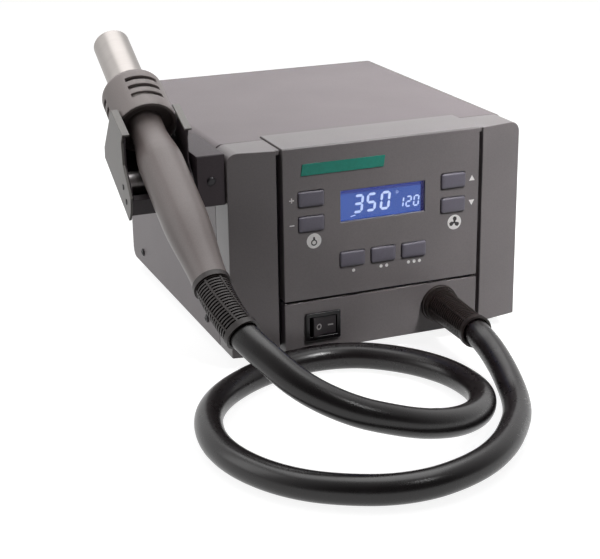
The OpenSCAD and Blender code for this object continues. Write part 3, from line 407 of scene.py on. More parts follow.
# %% Moulded plastic finishes
FINISHES.update({
    "front_plastic": grained("spark_textured_abs", "#757071", "#7F797A", 0.8, 0.03, (0.28, 0.36),
                             **{"Specular IOR Level": 0.36}),
    "frame_plastic": grained("matte_black_abs", "#161516", "#1E1C1E", 0.8, 0.04, (0.5, 0.6)),
    "button_plastic": grained("keycap_abs", "#625E69", "#6C6874", 0.7, 0.015, (0.34, 0.42)),
    "gloss_black": grained("polished_black_nylon", "#100D0F", "#161315", 2.0, 0.004, (0.2, 0.26),
                           **{"Specular IOR Level": 0.32}),
    "power_rocker": grained("satin_black_nylon", "#272225", "#2E282C", 1.0, 0.01, (0.4, 0.5)),
    "grip_plastic": grained("satin_abs_grey", "#756B69", "#7F7573", 0.8, 0.02, (0.35, 0.41)),
    "vent_collar": grained("matte_grey_nylon", "#857C7A", "#8E8583", 0.8, 0.02, (0.42, 0.5)),
    "blower_plastic": grained("glass_filled_nylon", "#1D1D1F", "#2B2B2D", 1.2, 0.05, (0.5, 0.65)),
    "impeller_white": grained("white_nylon", "#CFCFCA", "#DEDED9", 1.0, 0.02, (0.4, 0.5)),
    "part_grey": grained("epoxy_part", "#4A4B50", "#5A5B60", 1.0, 0.02, (0.35, 0.5)),
})
print("finishes so far:", len(FINISHES))

# %% [markdown]
# Rubber and silicone are dark and a little oily. The hose was drawn from a die, so its skin is
# smooth and reflects lamps as soft bands. It has no bump, and its gloss changes only slowly, in
# patches of eight millimetres, because a finer pattern breaks those bands up into specks. The
# moulded rubber of the strain reliefs and feet is drier and has a grain.

# %% Rubber finishes
FINISHES.update({
    "hose_rubber": grained("drawn_silicone_rubber", "#0D0709", "#130B0D", 8.0, 0.0, (0.26, 0.3),
                           **{"Specular IOR Level": 0.55}),
    "black_rubber": grained("moulded_nitrile_rubber", "#1E1716", "#291F1D", 0.9, 0.02, (0.4, 0.5),
                            **{"Specular IOR Level": 0.45}),
})
print("finishes so far:", len(FINISHES))

# %% [markdown]
# Bare metals keep the default index of refraction. The nozzle pipe is stainless steel that was
# polished on a lathe, so its scratches run round it: the grain is drawn out across the handle's
# axis. The rest bar is turned too, but its axis lies across the case. The screws are plated or
# blackened steel, and the mains pins are rolled brass.

# %% Metal finishes
FINISHES.update({
    "pipe_steel": grained("lathe_polished_stainless_steel", "#9D9895", "#A7A29F", 1.0, 0.001,
                          (0.38, 0.44), stretch=(0.05, 1.6, 0.05), turn=-LEAN, Metallic=1.0),
    "bar_metal": grained("turned_aluminium", "#B9B4B4", "#D8D4D4", 1.0, 0.01, (0.28, 0.4),
                         stretch=(1.6, 0.1, 0.1), Metallic=1.0),
    "screw_steel": grained("zinc_plated_steel", "#9C9EA2", "#C4C6CA", 1.5, 0.01, (0.25, 0.4),
                           Metallic=1.0),
    "screw_black": grained("blackened_steel", "#1E1C1F", "#2A272B", 1.5, 0.01, (0.3, 0.42),
                           Metallic=0.3),
    "pin_brass": grained("rolled_brass", "#B5934C", "#D6B76C", 1.5, 0.01, (0.2, 0.32),
                         Metallic=1.0),
    "motor_steel": grained("drawn_steel", "#8E9093", "#B4B6B9", 1.2, 0.01, (0.25, 0.4),
                           stretch=(1.0, 1.0, 0.15), Metallic=1.0),
    "core_iron": grained("lacquered_iron", "#43454A", "#55575C", 1.2, 0.05, (0.35, 0.5),
                         stretch=(1.0, 0.1, 0.1), Metallic=0.6),
    "sink_aluminium": grained("extruded_aluminium", "#B4B6B8", "#D2D3D5", 1.0, 0.01, (0.28, 0.4),
                              stretch=(1.0, 1.0, 0.1), Metallic=1.0),
})
print("finishes so far:", len(FINISHES))

# %% [markdown]
# The pieces inside are seen only through slots or with the cover off, but each has its own
# finish: the lacquer on the boards, the tape round the coil, fired ceramic and layered mica.

# %% Finishes inside
FINISHES.update({
    "board_green": grained("green_solder_lacquer", "#174E2C", "#20633A", 3.0, 0.02, (0.25, 0.38)),
    "coil_tape": grained("amber_polyester_tape", "#B98B3A", "#D0A352", 3.0, 0.03, (0.22, 0.34),
                         stretch=(0.2, 0.2, 1.0)),
    "heater_ceramic": grained("fired_steatite", "#DDD2B9", "#EBE2CC", 1.4, 0.05, (0.6, 0.75)),
    "mica": grained("layered_mica", "#B39D6E", "#D0BD90", 2.5, 0.05, (0.25, 0.5), detail=5.0),
})
print("finishes so far:", len(FINISHES))

# %% [markdown]
# The badge is a printed film under a clear layer, left bare here. The printed marks are matte
# ink. The window is clear acrylic with a non-glare face, so it lets the display through and
# mirrors little. Full transmission draws the pane, and an index of refraction below that of
# solid acrylic stands for the non-glare face.

# %% Film, ink and window
FINISHES["badge_film"] = grained("teal_polycarbonate_film", "#1F8473", "#279381", 2.0, 0.003,
                                 (0.3, 0.36), **{"Specular IOR Level": 0.35})
FINISHES["window_glass"] = grained("clear_acrylic", "#F2F4FF", "#FFFFFF", 2.0, 0.0, (0.0, 0.01),
                                   **{"Transmission Weight": 1.0, "IOR": 1.2})
WHITE_INK = grained("white_pad_print", "#EFECEA", "#FAF8F6", 0.8, 0.01, (0.5, 0.6))
GREY_INK = grained("grey_pad_print", "#A39F9E", "#AFABAA", 0.8, 0.01, (0.5, 0.6))
DARK_INK = grained("dark_pad_print", "#3A3637", "#454142", 0.8, 0.01, (0.5, 0.6))
print("finishes so far:", len(FINISHES))

# %% [markdown]
# The display is a blue liquid crystal film with a lamp behind it. It shines by itself, so its
# colour comes from emission. The lamp is a little uneven. The case's edge shades the top and the
# right end of the film, and that shade is painted into the emission as dark edges. A lamp behind
# the film could light it, but its noise would show. Two ramps over real millimetres, one along Z
# and one along X, draw the painted shade instead.

# %% Display film
LCD_FIELD_LOW, LCD_FIELD_HIGH = "#3C5398", "#4461AA"
# Painted shade: darker blues for the film's top and right end, where the case's edge shades it
LCD_TOP_PAINTED_SHADE, LCD_RIGHT_PAINTED_SHADE = "#323C80", "#1E1A4A"
TOP_PAINTED_SHADE_MM, RIGHT_PAINTED_SHADE_MM, PAINTED_SHADE_BLUR_MM = 2.6, 1.0, 0.6
LCD_GLOW_MM = 30.0
UNLIT = {"Base Color": linear("#0A0E2A"), "Roughness": 0.4, "Emission Strength": 1.0}

lcd_low, lcd_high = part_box("lcd_window")
film, tree, body = shader("backlit_lcd_film_with_painted_shade", **UNLIT, **{"Specular IOR Level": 0.2})
where = add(tree, "ShaderNodeTexCoord").outputs["Object"]
split = add(tree, "ShaderNodeSeparateXYZ", None, {0: where})
glow = add(tree, "ShaderNodeTexNoise", None,
           {"Vector": where, "Scale": 1 / (LCD_GLOW_MM * MM), "Detail": 0.0})
field = add(tree, "ShaderNodeMix", COLOURS,
            {"Factor": glow, MIX_LOW: linear(LCD_FIELD_LOW), MIX_HIGH: linear(LCD_FIELD_HIGH)})
# Each ramp paints the case's shade into the film's emission, the top along Z, the right end along
# X
for axis, edge, width_mm, painted_shade_colour in (("Z", lcd_high[2], TOP_PAINTED_SHADE_MM, LCD_TOP_PAINTED_SHADE),
                                   ("X", lcd_high[0], RIGHT_PAINTED_SHADE_MM, LCD_RIGHT_PAINTED_SHADE)):
    painted_shade_from = edge - width_mm * MM
    share = add(tree, "ShaderNodeMapRange", None,
                {"Value": split.outputs[axis], "From Min": painted_shade_from - PAINTED_SHADE_BLUR_MM * MM,
                 "From Max": painted_shade_from})
    field = add(tree, "ShaderNodeMix", COLOURS,
                {"Factor": share, MIX_LOW: field.outputs[MIX_RESULT], MIX_HIGH: linear(painted_shade_colour)})
tree.links.new(field.outputs[MIX_RESULT], body.inputs["Emission Color"])
FINISHES["lcd_blue"] = film
print("display film, mm:", [round((b - a) / MM, 1) for a, b in zip(lcd_low, lcd_high)])

# %% [markdown]
# The digits are clear segments in that film, so the lamp shows through them almost white. They
# get an emission of their own, as uneven as the lamp is.

# %% Lit segments
DIGIT_LOW, DIGIT_HIGH = "#B4C8F6", "#D2E2FF"
DIGIT_GLOW_MM = 12.0

digit_ink, tree, body = shader("lit_crystal_segment", **UNLIT)
where = add(tree, "ShaderNodeTexCoord").outputs["Object"]
glow = add(tree, "ShaderNodeTexNoise", None,
           {"Vector": where, "Scale": 1 / (DIGIT_GLOW_MM * MM), "Detail": 0.0})
lit = add(tree, "ShaderNodeMix", COLOURS,
          {"Factor": glow, MIX_LOW: linear(DIGIT_LOW), MIX_HIGH: linear(DIGIT_HIGH)})
tree.links.new(lit.outputs[MIX_RESULT], body.inputs["Emission Color"])
print("finishes in all:", len(FINISHES))

# %% [markdown]
# Each node of the frame gets the finish that the record's slot names, or its own where there is
# one under the node's name. Its faces are loose triangles, so a Weld modifier merges them, a
# Decimate modifier joins the flat ones, and a Bevel modifier rounds the sharp edges. A Weighted
# Normal modifier then keeps the large faces flat in their shading. Real edges are never sharp:
# that thin line of light along each edge is what makes a case look made and not drawn. Most
# hidden pieces are left as they are.

# %% Dress the nodes
slot_of = {part["node"]: part["material_slot"] for part in frame["record"]["subparts"]}
EDGES_MM = {
    "top_cover": 0.3, "left_wing": 0.5, "right_wing": 0.5, "control_panel": 0.35,
    "lower_panel": 0.35, "badge_plate": 0.08, "switch_bezel": 0.35, "power_rocker": 0.35,
    "outlet_bush": 0.6, "holder_bracket": 0.8, "holder_tray": 0.2, "outer_cheek": 0.35,
    "inner_cheek": 0.35, "rest_bar": 0.5, "holder_screws": 0.2, "mains_inlet": 0.5,
    "fuse_holder": 0.3, "fuse_cap": 0.5, "feet": 0.4, "rear_panel": 0.15, "nozzle_pipe": 0.15,
    "vent_collar": 0.3, "handle_grip": 0.3, "inlet_pins": 0.3, "blower_impeller": 0.2,
    "blower_housing": 0.3, "blower_lid": 0.3, "blower_motor": 0.4, "transformer_core": 0.3,
    "transformer_coil": 0.8, "heat_sink": 0.15, "heater_core": 0.2, "front_frame": 0.2,
}
WELD_MM = 0.005
FLAT_ANGLE, EDGE_ANGLE = math.radians(0.5), math.radians(32)
EDGE_SEGMENTS = 2
LARGE_FACES_WEIGH = 100


def soften(made, width_mm):
    """Merges a node's triangles, joins the flat ones and rounds its sharp edges."""
    made.data.shade_smooth()
    weld = made.modifiers.new("weld", "WELD")
    weld.merge_threshold = WELD_MM * MM
    flat = made.modifiers.new("flat", "DECIMATE")
    flat.decimate_type = "DISSOLVE"
    flat.angle_limit = FLAT_ANGLE
    bevel = made.modifiers.new("edges", "BEVEL")
    bevel.width = width_mm * MM
    bevel.segments = EDGE_SEGMENTS
    bevel.limit_method = "ANGLE"
    bevel.angle_limit = EDGE_ANGLE
    bevel.use_clamp_overlap = False
    weighted = made.modifiers.new("normals", "WEIGHTED_NORMAL")
    weighted.weight = LARGE_FACES_WEIGH


for name, made in nodes.items():
    made.data.materials.clear()
    made.data.materials.append(FINISHES.get(name) or FINISHES[slot_of[name]])
    if name in EDGES_MM:
        soften(made, EDGES_MM[name])
hose.data.materials.append(FINISHES["hose_rubber"])
print("nodes with softened edges:", len(EDGES_MM))

# %% [markdown]
# A key on the real station is a small moulded cap with rounded corners, a softly crowned face
# and a flange behind the panel that keeps it in. A bevelled block would have a flat face, so a
# loft makes the cap: rounded rectangles, each a little smaller and a little further out than
# the last. Each cap rides on its own key body.

# %% Keys
KEYS = ["temp_up", "temp_down", "air_up", "air_down", "preset_1", "preset_2", "preset_3"]
FLANGE = 1.0
KEY_CORNER, LEAST_CORNER = 1.3, 0.1
CORNER_STEPS, KEY_SMOOTH = 6, 50
# How far each ring lies in front of the panel's face, and how far inside the key's outline
KEY_RINGS = [(-4.7, -FLANGE), (-3.3, -FLANGE), (-3.3, 0.0), (0.5, 0.0), (0.8, 0.1), (1.05, 0.3),
             (1.22, 0.55), (1.35, 0.9), (1.45, 1.4), (1.53, 2.1), (1.58, 3.0), (1.6, 4.2)]


def rounded_outline(w, h, r):
    """The points round a rectangle with rounded corners, in its own plane."""
    corners = [(w / 2 - r, h / 2 - r, 0), (r - w / 2, h / 2 - r, 90),
               (r - w / 2, r - h / 2, 180), (w / 2 - r, r - h / 2, 270)]
    turns = [(cx, cy, math.radians(a + 90 * k / CORNER_STEPS))
             for cx, cy, a in corners for k in range(CORNER_STEPS + 1)]
    return [(cx + r * math.cos(t), cy + r * math.sin(t)) for cx, cy, t in turns]


for key in KEYS:
    low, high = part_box(key + "_button")
    centre = middle_of(key + "_button")
    width = (high[0] - low[0]) / MM - 2 * FLANGE
    height = (high[2] - low[2]) / MM - 2 * FLANGE
    rings = []
    for proud, inset in KEY_RINGS:
        outline = rounded_outline(width - 2 * inset, height - 2 * inset,
                                  max(KEY_CORNER - inset, LEAST_CORNER))
        rings.append([place(centre.x + u, -proud, centre.z + v) for u, v in outline])
    bm = bmesh.new()
    loft(bm, rings)
    cap = smooth(mesh_object(key + "_cap", bm), KEY_SMOOTH)
    cap.data.materials.append(FINISHES["button_plastic"])
    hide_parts(key + "_button")
    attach(cap, key + "_key")
print("key caps:", len(KEYS), "of", round(width, 1), "x", round(height, 1), "mm")

# %% [markdown]
# Signs and digits are flat outlines with a hair of thickness, so they are real meshes and not
# a picture. A spot says where the outline's plane lies: its right, its up and its outward
# direction, in the frame's metres. Each outline becomes a closed plate on that plane.

# %% Plates
RIGHT, UP = (1, 0, 0), (0, 0, 1)
SQUARE_END, POINTED_END = 0.0, 0.5


def spot(origin, right, up):
    """A matrix that carries millimetres in a plane to metres in the frame."""
    out = Vector(right).cross(Vector(up))
    axes = Matrix((right, up, out)).transposed().to_4x4()
    return Matrix.Translation(origin) @ axes @ Matrix.Scale(MM, 4)


def add_plate(bm, where, outline, low, high):
    """Adds a closed plate between two heights above a spot's plane, in millimetres."""
    back = [bm.verts.new(where @ Vector((u, v, low))) for u, v in outline]
    front = [bm.verts.new(where @ Vector((u, v, high))) for u, v in outline]
    bm.faces.new(back[::-1])
    bm.faces.new(front)
    for k in range(len(outline)):
        n = (k + 1) % len(outline)
        bm.faces.new((back[k], back[n], front[n], front[k]))


def bar(p, q, thick, tip):
    """A six-sided bar between two points. tip says how pointed its ends are."""
    p, q = Vector(p), Vector(q)
    along = (q - p).normalized() * thick / 2
    across = Vector((-along.y, along.x))
    return [p, p + along * 2 * tip - across, q - along * 2 * tip - across,
            q, q - along * 2 * tip + across, p + along * 2 * tip + across]


def disc(u, v, r, sides):
    """A round outline."""
    return [(u + r * math.cos(2 * math.pi * k / sides), v + r * math.sin(2 * math.pi * k / sides))
            for k in range(sides)]


print("plates ready")

# %% [markdown]
# A ring has a hole, which a plate with one outline can't have, so it is swept round its middle.
# One more helper turns the outlines that lie together into one piece.

# %% Rings and signs
def add_ring(bm, where, u, v, r_out, r_in, low, high, sides):
    """Adds a flat ring between two heights above a spot's plane."""
    corners = [(r_in, low), (r_out, low), (r_out, high), (r_in, high)]
    turns = [2 * math.pi * k / sides for k in range(sides)]
    rows = [[bm.verts.new(where @ Vector((u + r * math.cos(t), v + r * math.sin(t), z)))
             for r, z in corners] for t in turns]
    for k in range(sides):
        a, b = rows[k], rows[(k + 1) % sides]
        for c in range(4):
            bm.faces.new((a[c], a[(c + 1) % 4], b[(c + 1) % 4], b[c]))


def finish_signs(name, bm, material, body):
    """Makes the outlines one piece with a material and a body."""
    made = mesh_object(name, bm)
    made.data.materials.append(material)
    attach(made, body)


print("rings ready")

# %% [markdown]
# The display shows two numbers in slanted seven-segment digits: a large set value and a small
# air flow. Such a display has its segments etched in the glass, with pointed ends and thin gaps
# between them. A font would need a file and would look printed. So each digit is a list of lit
# segments, and a shear gives the slant. A small ring and a short stroke stand beside them.

# %% Display digits
ROOT = "station"
# Each segment runs between two corners of the digit, counted in halves of its height
SEGMENTS = {"a": ((0, 2), (1, 2)), "b": ((1, 1), (1, 2)), "c": ((1, 0), (1, 1)),
            "d": ((0, 0), (1, 0)), "e": ((0, 0), (0, 1)), "f": ((0, 1), (0, 2)),
            "g": ((0, 1), (1, 1))}
LIT = {"0": "abcdef", "1": "bc", "2": "abged", "3": "abgcd", "5": "afgcd"}
SLANT = 0.11
SEGMENT_GAP = 0.16
# Each digit's left edge and foot from the display's middle, and its width, height and line
DIGITS = [("3", -18.5, -6.0, 6.4, 11.3, 1.55), ("5", -10.2, -6.0, 6.4, 11.3, 1.55),
          ("0", -1.2, -6.0, 6.4, 11.3, 1.55), ("1", 10.6, -6.3, 3.9, 6.9, 0.95),
          ("2", 15.6, -6.3, 3.9, 6.9, 0.95), ("0", 20.6, -6.3, 3.9, 6.9, 0.95)]
DEGREE_PLACE, DEGREE_OUT, DEGREE_IN, DEGREE_SIDES = (10.3, 3.8), 0.8, 0.6, 20
STROKE_FROM, STROKE_TO, STROKE_LINE = (-19.8, -7.7), (-16.4, -7.0), 0.5
FILM_BACK, FILM_FRONT, CLEAR_OF_FILM = 0.0, 0.12, 0.01

film_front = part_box("lcd_module")[0][1]
lcd_height = place(*middle_of("lcd_window")).z
display = spot(Vector((CASE.x, film_front - CLEAR_OF_FILM * MM, lcd_height)), RIGHT, UP)
bm = bmesh.new()
for digit, left, foot, width, height, thick in DIGITS:
    for name in LIT[digit]:
        p, q = [Vector((left + thick / 2 + i * (width - thick),
                        foot + thick / 2 + j * (height - thick) / 2)) for i, j in SEGMENTS[name]]
        gap = (q - p).normalized() * SEGMENT_GAP
        upright = bar(p + gap, q - gap, thick, POINTED_END)
        slanted = [(u + SLANT * (v - foot), v) for u, v in upright]
        add_plate(bm, display, slanted, FILM_BACK, FILM_FRONT)
add_ring(bm, display, *DEGREE_PLACE, DEGREE_OUT, DEGREE_IN, FILM_BACK, FILM_FRONT,
         DEGREE_SIDES)
add_plate(bm, display, bar(STROKE_FROM, STROKE_TO, STROKE_LINE, POINTED_END),
          FILM_BACK, FILM_FRONT)
finish_signs("lit_digits", bm, digit_ink, ROOT)
print("display digits:", len(DIGITS))

# %% [markdown]
# The panel's signs are pad-printed in pale ink: plus and minus beside the temperature keys,
# arrows beside the air keys, dots under the presets, and two round discs for the pictograms.
# Ink has next to no thickness, so these plates stand three hundredths of a millimetre proud.

# %% Printed signs
INK = 0.03
TEMP_SIGNS_X, AIR_SIGNS_X = -57.8, 58.5
STROKE_HALF, SIGN_LINE = 1.5, 0.7
ARROW_HALF, ARROW_FOOT, ARROW_TIP = 1.9, 1.5, 1.9
# One dot, then two, then three, each set under its own preset key
DOTS_X, DOTS_Z, DOT_RADIUS = (-19.2, -1.3, 2.4, 16.8, 20.6, 24.1), 54.9, 1.05
THERMOMETER, FAN, PICTOGRAM_RADIUS = (-44.2, 76.4), (47.2, 76.0), 4.6
DOT_SIDES, PICTOGRAM_SIDES = 20, 48

panel = spot(place(0, 0, 0), RIGHT, UP)
rows = {key: middle_of(key + "_button").z for key in KEYS}
left, right = TEMP_SIGNS_X - STROKE_HALF, TEMP_SIGNS_X + STROKE_HALF
plus_z, minus_z = rows["temp_up"], rows["temp_down"]
strokes = [((left, plus_z), (right, plus_z)), ((left, minus_z), (right, minus_z)),
           ((TEMP_SIGNS_X, plus_z - STROKE_HALF), (TEMP_SIGNS_X, plus_z + STROKE_HALF))]
bm = bmesh.new()
for p, q in strokes:
    add_plate(bm, panel, bar(p, q, SIGN_LINE, SQUARE_END), 0, INK)
for z, tip in ((rows["air_up"], 1), (rows["air_down"], -1)):
    arrow = [(AIR_SIGNS_X - ARROW_HALF, z - ARROW_FOOT * tip),
             (AIR_SIGNS_X + ARROW_HALF, z - ARROW_FOOT * tip),
             (AIR_SIGNS_X, z + ARROW_TIP * tip)]
    add_plate(bm, panel, arrow[::tip], 0, INK)
for x in DOTS_X:
    add_plate(bm, panel, disc(x, DOTS_Z, DOT_RADIUS, DOT_SIDES), 0, INK)
for u, v in (THERMOMETER, FAN):
    add_plate(bm, panel, disc(u, v, PICTOGRAM_RADIUS, PICTOGRAM_SIDES), 0, INK)
finish_signs("printed_signs", bm, WHITE_INK, ROOT)
print("printed rows, mm:", {key: round(z, 1) for key, z in rows.items()})

# %% [markdown]
# The two pictograms are a thermometer, a bulb with a stem, and a fan with three blades. Their
# dark figures lie on the pale discs as a second print. A blade is one outline of six points,
# turned twice. Where two figures cross, one lies a print higher, so that no faces coincide.

# %% Printed figures
FIRST_PRINT, SECOND_PRINT, THIRD_PRINT = INK, 2 * INK, 3 * INK
BULB_DROP, BULB_OUT, BULB_IN, BULB_SIDES = 1.0, 1.9, 1.2, 36
STEM_FOOT, STEM_TOP, STEM_LINE, STEM_END = 0.3, 2.6, 1.2, 0.4
BLADE = [(0.4, -0.5), (1.6, -1.5), (3.2, -1.3), (3.6, 0.2), (2.6, 1.1), (0.6, 0.5)]
BLADE_TURNS, HUB_RADIUS, HUB_SIDES = (90, 210, 330), 0.8, 20

bm = bmesh.new()
u, v = THERMOMETER
add_ring(bm, panel, u, v - BULB_DROP, BULB_OUT, BULB_IN, FIRST_PRINT, SECOND_PRINT,
         BULB_SIDES)
stem = bar((u, v + STEM_FOOT), (u, v + STEM_TOP), STEM_LINE, STEM_END)
add_plate(bm, panel, stem, SECOND_PRINT, THIRD_PRINT)
u, v = FAN
for turn in BLADE_TURNS:
    t = math.radians(turn)
    blade = [(u + a * math.cos(t) - b * math.sin(t), v + a * math.sin(t) + b * math.cos(t))
             for a, b in BLADE]
    add_plate(bm, panel, blade, FIRST_PRINT, SECOND_PRINT)
add_plate(bm, panel, disc(u, v, HUB_RADIUS, HUB_SIDES), SECOND_PRINT, THIRD_PRINT)
finish_signs("printed_figures", bm, DARK_INK, ROOT)
print("fan blades:", len(BLADE_TURNS))

# %% [markdown]
# The rocker has two faces, one on each side of its pin, and each is printed with its own sign: a
# ring for off and a stroke for on. The signs lie on the faces' planes, so they ride on the
# rocker and lean with it. The faces' slope follows from the rocker's own sizes.

# %% Rocker signs
PIVOT = Vector((-39.4, 4.5, 23.3))
ROCKER_LEAN = math.radians(8)
# The rocker's half width, and how far in front of the pin a face begins and ends
ROCKER_HALF, FACE_MIDDLE, FACE_END = 7.6, -5.4, -6.6
SIGN_SHARE, CLEAR_OF_FACE = 0.52, 0.02
OFF_OUT, OFF_IN, OFF_SIDES = 1.9, 1.1, 32
ON_HALF, ON_LINE = 1.7, 0.9
face_slope = math.atan2(FACE_MIDDLE - FACE_END, ROCKER_HALF)
face_depth = (FACE_MIDDLE + FACE_END) / 2 - CLEAR_OF_FACE

bm = bmesh.new()
turn = Matrix.Rotation(ROCKER_LEAN, 3, "Z")
for side in (-1, 1):
    centre = turn @ Vector((side * ROCKER_HALF * SIGN_SHARE, face_depth, 0))
    right = turn @ Vector((math.cos(face_slope), -side * math.sin(face_slope), 0))
    face = spot(place(*(PIVOT + centre)), right, UP)
    if side < 0:
        add_ring(bm, face, 0, 0, OFF_OUT, OFF_IN, 0, INK, OFF_SIDES)
    else:
        add_plate(bm, face, bar((-ON_HALF, 0), (ON_HALF, 0), ON_LINE, SQUARE_END), 0, INK)
finish_signs("rocker_signs", bm, GREY_INK, "rocker")
print("rocker face slope, degrees:", round(math.degrees(face_slope), 1))

# %% [markdown]
# Screws and the rungs of the strain reliefs repeat, so Geometry Nodes make them. Both trees
# have named sizes and end in the same way: the instances are made real and the finish is set.
# A third helper runs a tree on a seed mesh and keeps the result as a plain mesh, because a
# finished piece has to be one before it rides on a body and is exported.

# %% Geometry Nodes helpers
MATH, XYZ = "ShaderNodeMath", "ShaderNodeCombineXYZ"
PLUS, MINUS = {"operation": "ADD"}, {"operation": "SUBTRACT"}
TIMES, OVER = {"operation": "MULTIPLY"}, {"operation": "DIVIDE"}
TIMES_PLUS = {"operation": "MULTIPLY_ADD"}


def new_tree(name, sizes):
    """An empty Geometry Nodes tree with one geometry in and out, and named sizes."""
    tree = bpy.data.node_groups.new(name, "GeometryNodeTree")
    tree.interface.new_socket("Geometry", in_out="INPUT", socket_type="NodeSocketGeometry")
    tree.interface.new_socket("Geometry", in_out="OUTPUT", socket_type="NodeSocketGeometry")
    for label, kind in sizes.items():
        tree.interface.new_socket(label, in_out="INPUT", socket_type="NodeSocket" + kind)
    return tree, add(tree, "NodeGroupInput").outputs


def close_tree(tree, geometry, finish):
    """Ends a tree: instances become real, and the finish is set."""
    real = add(tree, "GeometryNodeRealizeInstances", None, {"Geometry": geometry})
    done = add(tree, "GeometryNodeSetMaterial", None, {"Geometry": real, "Material": finish})
    add(tree, "NodeGroupOutput", None, {"Geometry": done})


def grow(name, seed, tree, values):
    """Runs a tree on a seed mesh and keeps the result as a plain mesh."""
    made = bpy.data.objects.new(name, seed)
    bpy.context.collection.objects.link(made)
    modifier = made.modifiers.new("grow", "NODES")
    modifier.node_group = tree
    sockets = {s.name: s.identifier for s in tree.interface.items_tree if s.in_out == "INPUT"}
    for label, value in values.items():
        modifier[sockets[label]] = value
    graph = bpy.context.evaluated_depsgraph_get()
    plain = bpy.data.meshes.new_from_object(made.evaluated_get(graph))
    made.modifiers.remove(modifier)
    bm = bmesh.new()
    bm.from_mesh(plain)
    bmesh.ops.recalc_face_normals(bm, faces=bm.faces)
    bm.to_mesh(plain)
    bm.free()
    made.data = plain
    return made


print("Geometry Nodes helpers ready")

# %% [markdown]
# The screws are pan heads with a cross. A head is turned from wire, so it is round, upright at
# its rim and drawn in towards its top. A disc that is pushed up three times, a little smaller
# each time, gives that form with few faces.

# %% Screw tree, the head
screw_tree, size = new_tree("pan_head_screw", {
    "Head Radius": "Float", "Head Height": "Float", "Shank Radius": "Float",
    "Shank Length": "Float", "Finish": "Material"})
HEAD_SIDES, MERGE_MM = 32, 0.01
# The head's rise in shares of its height, and how much each step draws it in
HEAD_STEPS = [(0.55, 1.0), (0.25, 0.9), (0.2, 0.72)]

circle = add(screw_tree, "GeometryNodeMeshCircle", {"fill_type": "NGON"},
             {"Vertices": HEAD_SIDES, "Radius": size["Head Radius"]})
head, top = circle, True
for rise, draw in HEAD_STEPS:
    climb = add(screw_tree, MATH, TIMES, {0: size["Head Height"], 1: rise})
    offset = add(screw_tree, XYZ, None, {"Z": climb})
    step = add(screw_tree, "GeometryNodeExtrudeMesh", None,
               {"Mesh": head, "Selection": top, "Offset": offset, "Individual": False})
    top = step.outputs["Top"]
    head = add(screw_tree, "GeometryNodeScaleElements", None,
               {"Geometry": step, "Selection": top, "Scale": draw})
# Extruding leaves the head open below, so the circle turned over closes it for the boolean
under = add(screw_tree, "GeometryNodeFlipFaces", None, {"Mesh": circle})
shut = add(screw_tree, "GeometryNodeJoinGeometry", None, {"Geometry": [head, under]})
head = add(screw_tree, "GeometryNodeMergeByDistance", None,
           {"Geometry": shut, "Distance": MERGE_MM * MM})
print("steps of a screw's head:", len(HEAD_STEPS))

# %% [markdown]
# A punch leaves the cross, so two crossed blocks cut it out of the head with a boolean. The
# shank is plain, because its thread is never seen. The seed mesh is only points, one for each
# screw, with an attribute that says where the head looks, and the tree puts one on each point.

# %% Screw tree, the cross and the shank
CROSS_WIDTH, CROSS_REACH, CROSS_DEPTH = 0.26, 1.25, 0.7
SHANK_SIDES = 16

reach = add(screw_tree, MATH, TIMES, {0: size["Head Radius"], 1: CROSS_REACH})
across = add(screw_tree, MATH, TIMES, {0: size["Head Radius"], 1: CROSS_WIDTH})
depth = add(screw_tree, MATH, TIMES, {0: size["Head Height"], 1: 2 * CROSS_DEPTH})
on_top = add(screw_tree, XYZ, None, {"Z": size["Head Height"]})
arms = []
for x, y in ((reach, across), (across, reach)):
    sides = add(screw_tree, XYZ, None, {"X": x, "Y": y, "Z": depth})
    block = add(screw_tree, "GeometryNodeMeshCube", None, {"Size": sides})
    arms.append(add(screw_tree, "GeometryNodeTransform", None,
                    {"Geometry": block, "Translation": on_top}))
cut = add(screw_tree, "GeometryNodeMeshBoolean", {"operation": "DIFFERENCE"},
          {"Mesh 1": head, "Mesh 2": arms})
shank = add(screw_tree, "GeometryNodeMeshCylinder", None,
            {"Vertices": SHANK_SIDES, "Radius": size["Shank Radius"],
             "Depth": size["Shank Length"]})
half_down = add(screw_tree, MATH, TIMES, {0: size["Shank Length"], 1: -0.5})
sunk = add(screw_tree, XYZ, None, {"Z": half_down})
shank = add(screw_tree, "GeometryNodeTransform", None, {"Geometry": shank, "Translation": sunk})
whole = add(screw_tree, "GeometryNodeJoinGeometry", None, {"Geometry": [cut, shank]})
aim = add(screw_tree, "GeometryNodeInputNamedAttribute", {"data_type": "FLOAT_VECTOR"},
          {"Name": "aim"})
turn = add(screw_tree, "FunctionNodeAlignRotationToVector", {"axis": "Z"}, {"Vector": aim})
screws = add(screw_tree, "GeometryNodeInstanceOnPoints", None,
             {"Points": size["Geometry"], "Instance": whole, "Rotation": turn})
close_tree(screw_tree, screws, size["Finish"])
print("screw tree nodes:", len(screw_tree.nodes))

# %% [markdown]
# Four sorts of screw use the tree: black ones on the cover's sides and on the rear panel, plated
# ones in the inlet's flange and sunk in the feet. Each sort replaces its node, at its places.

# %% Screws
HEAD_RADIUS, HEAD_HEIGHT, SHANK_RADIUS = 2.6, 1.2, 1.5
HALF_WIDTH, CASE_DEPTH, FOOT_HEIGHT = 94.0, 220.0, 8.0
COVER_SCREWS_Y, COVER_SCREWS_Z = (53, 194), 17.5
REAR_SCREWS_X, REAR_SCREWS_Z = 72, 14.5
INLET_X, INLET_Z, INLET_REACH, INLET_PROUD = 56, 34, 20, 3
FOOT_SCREWS_X, FOOT_SCREWS_Y = 74, (50, 196)
LEFT_AND_RIGHT = (-1, 1)
SCREW_SMOOTH = 30
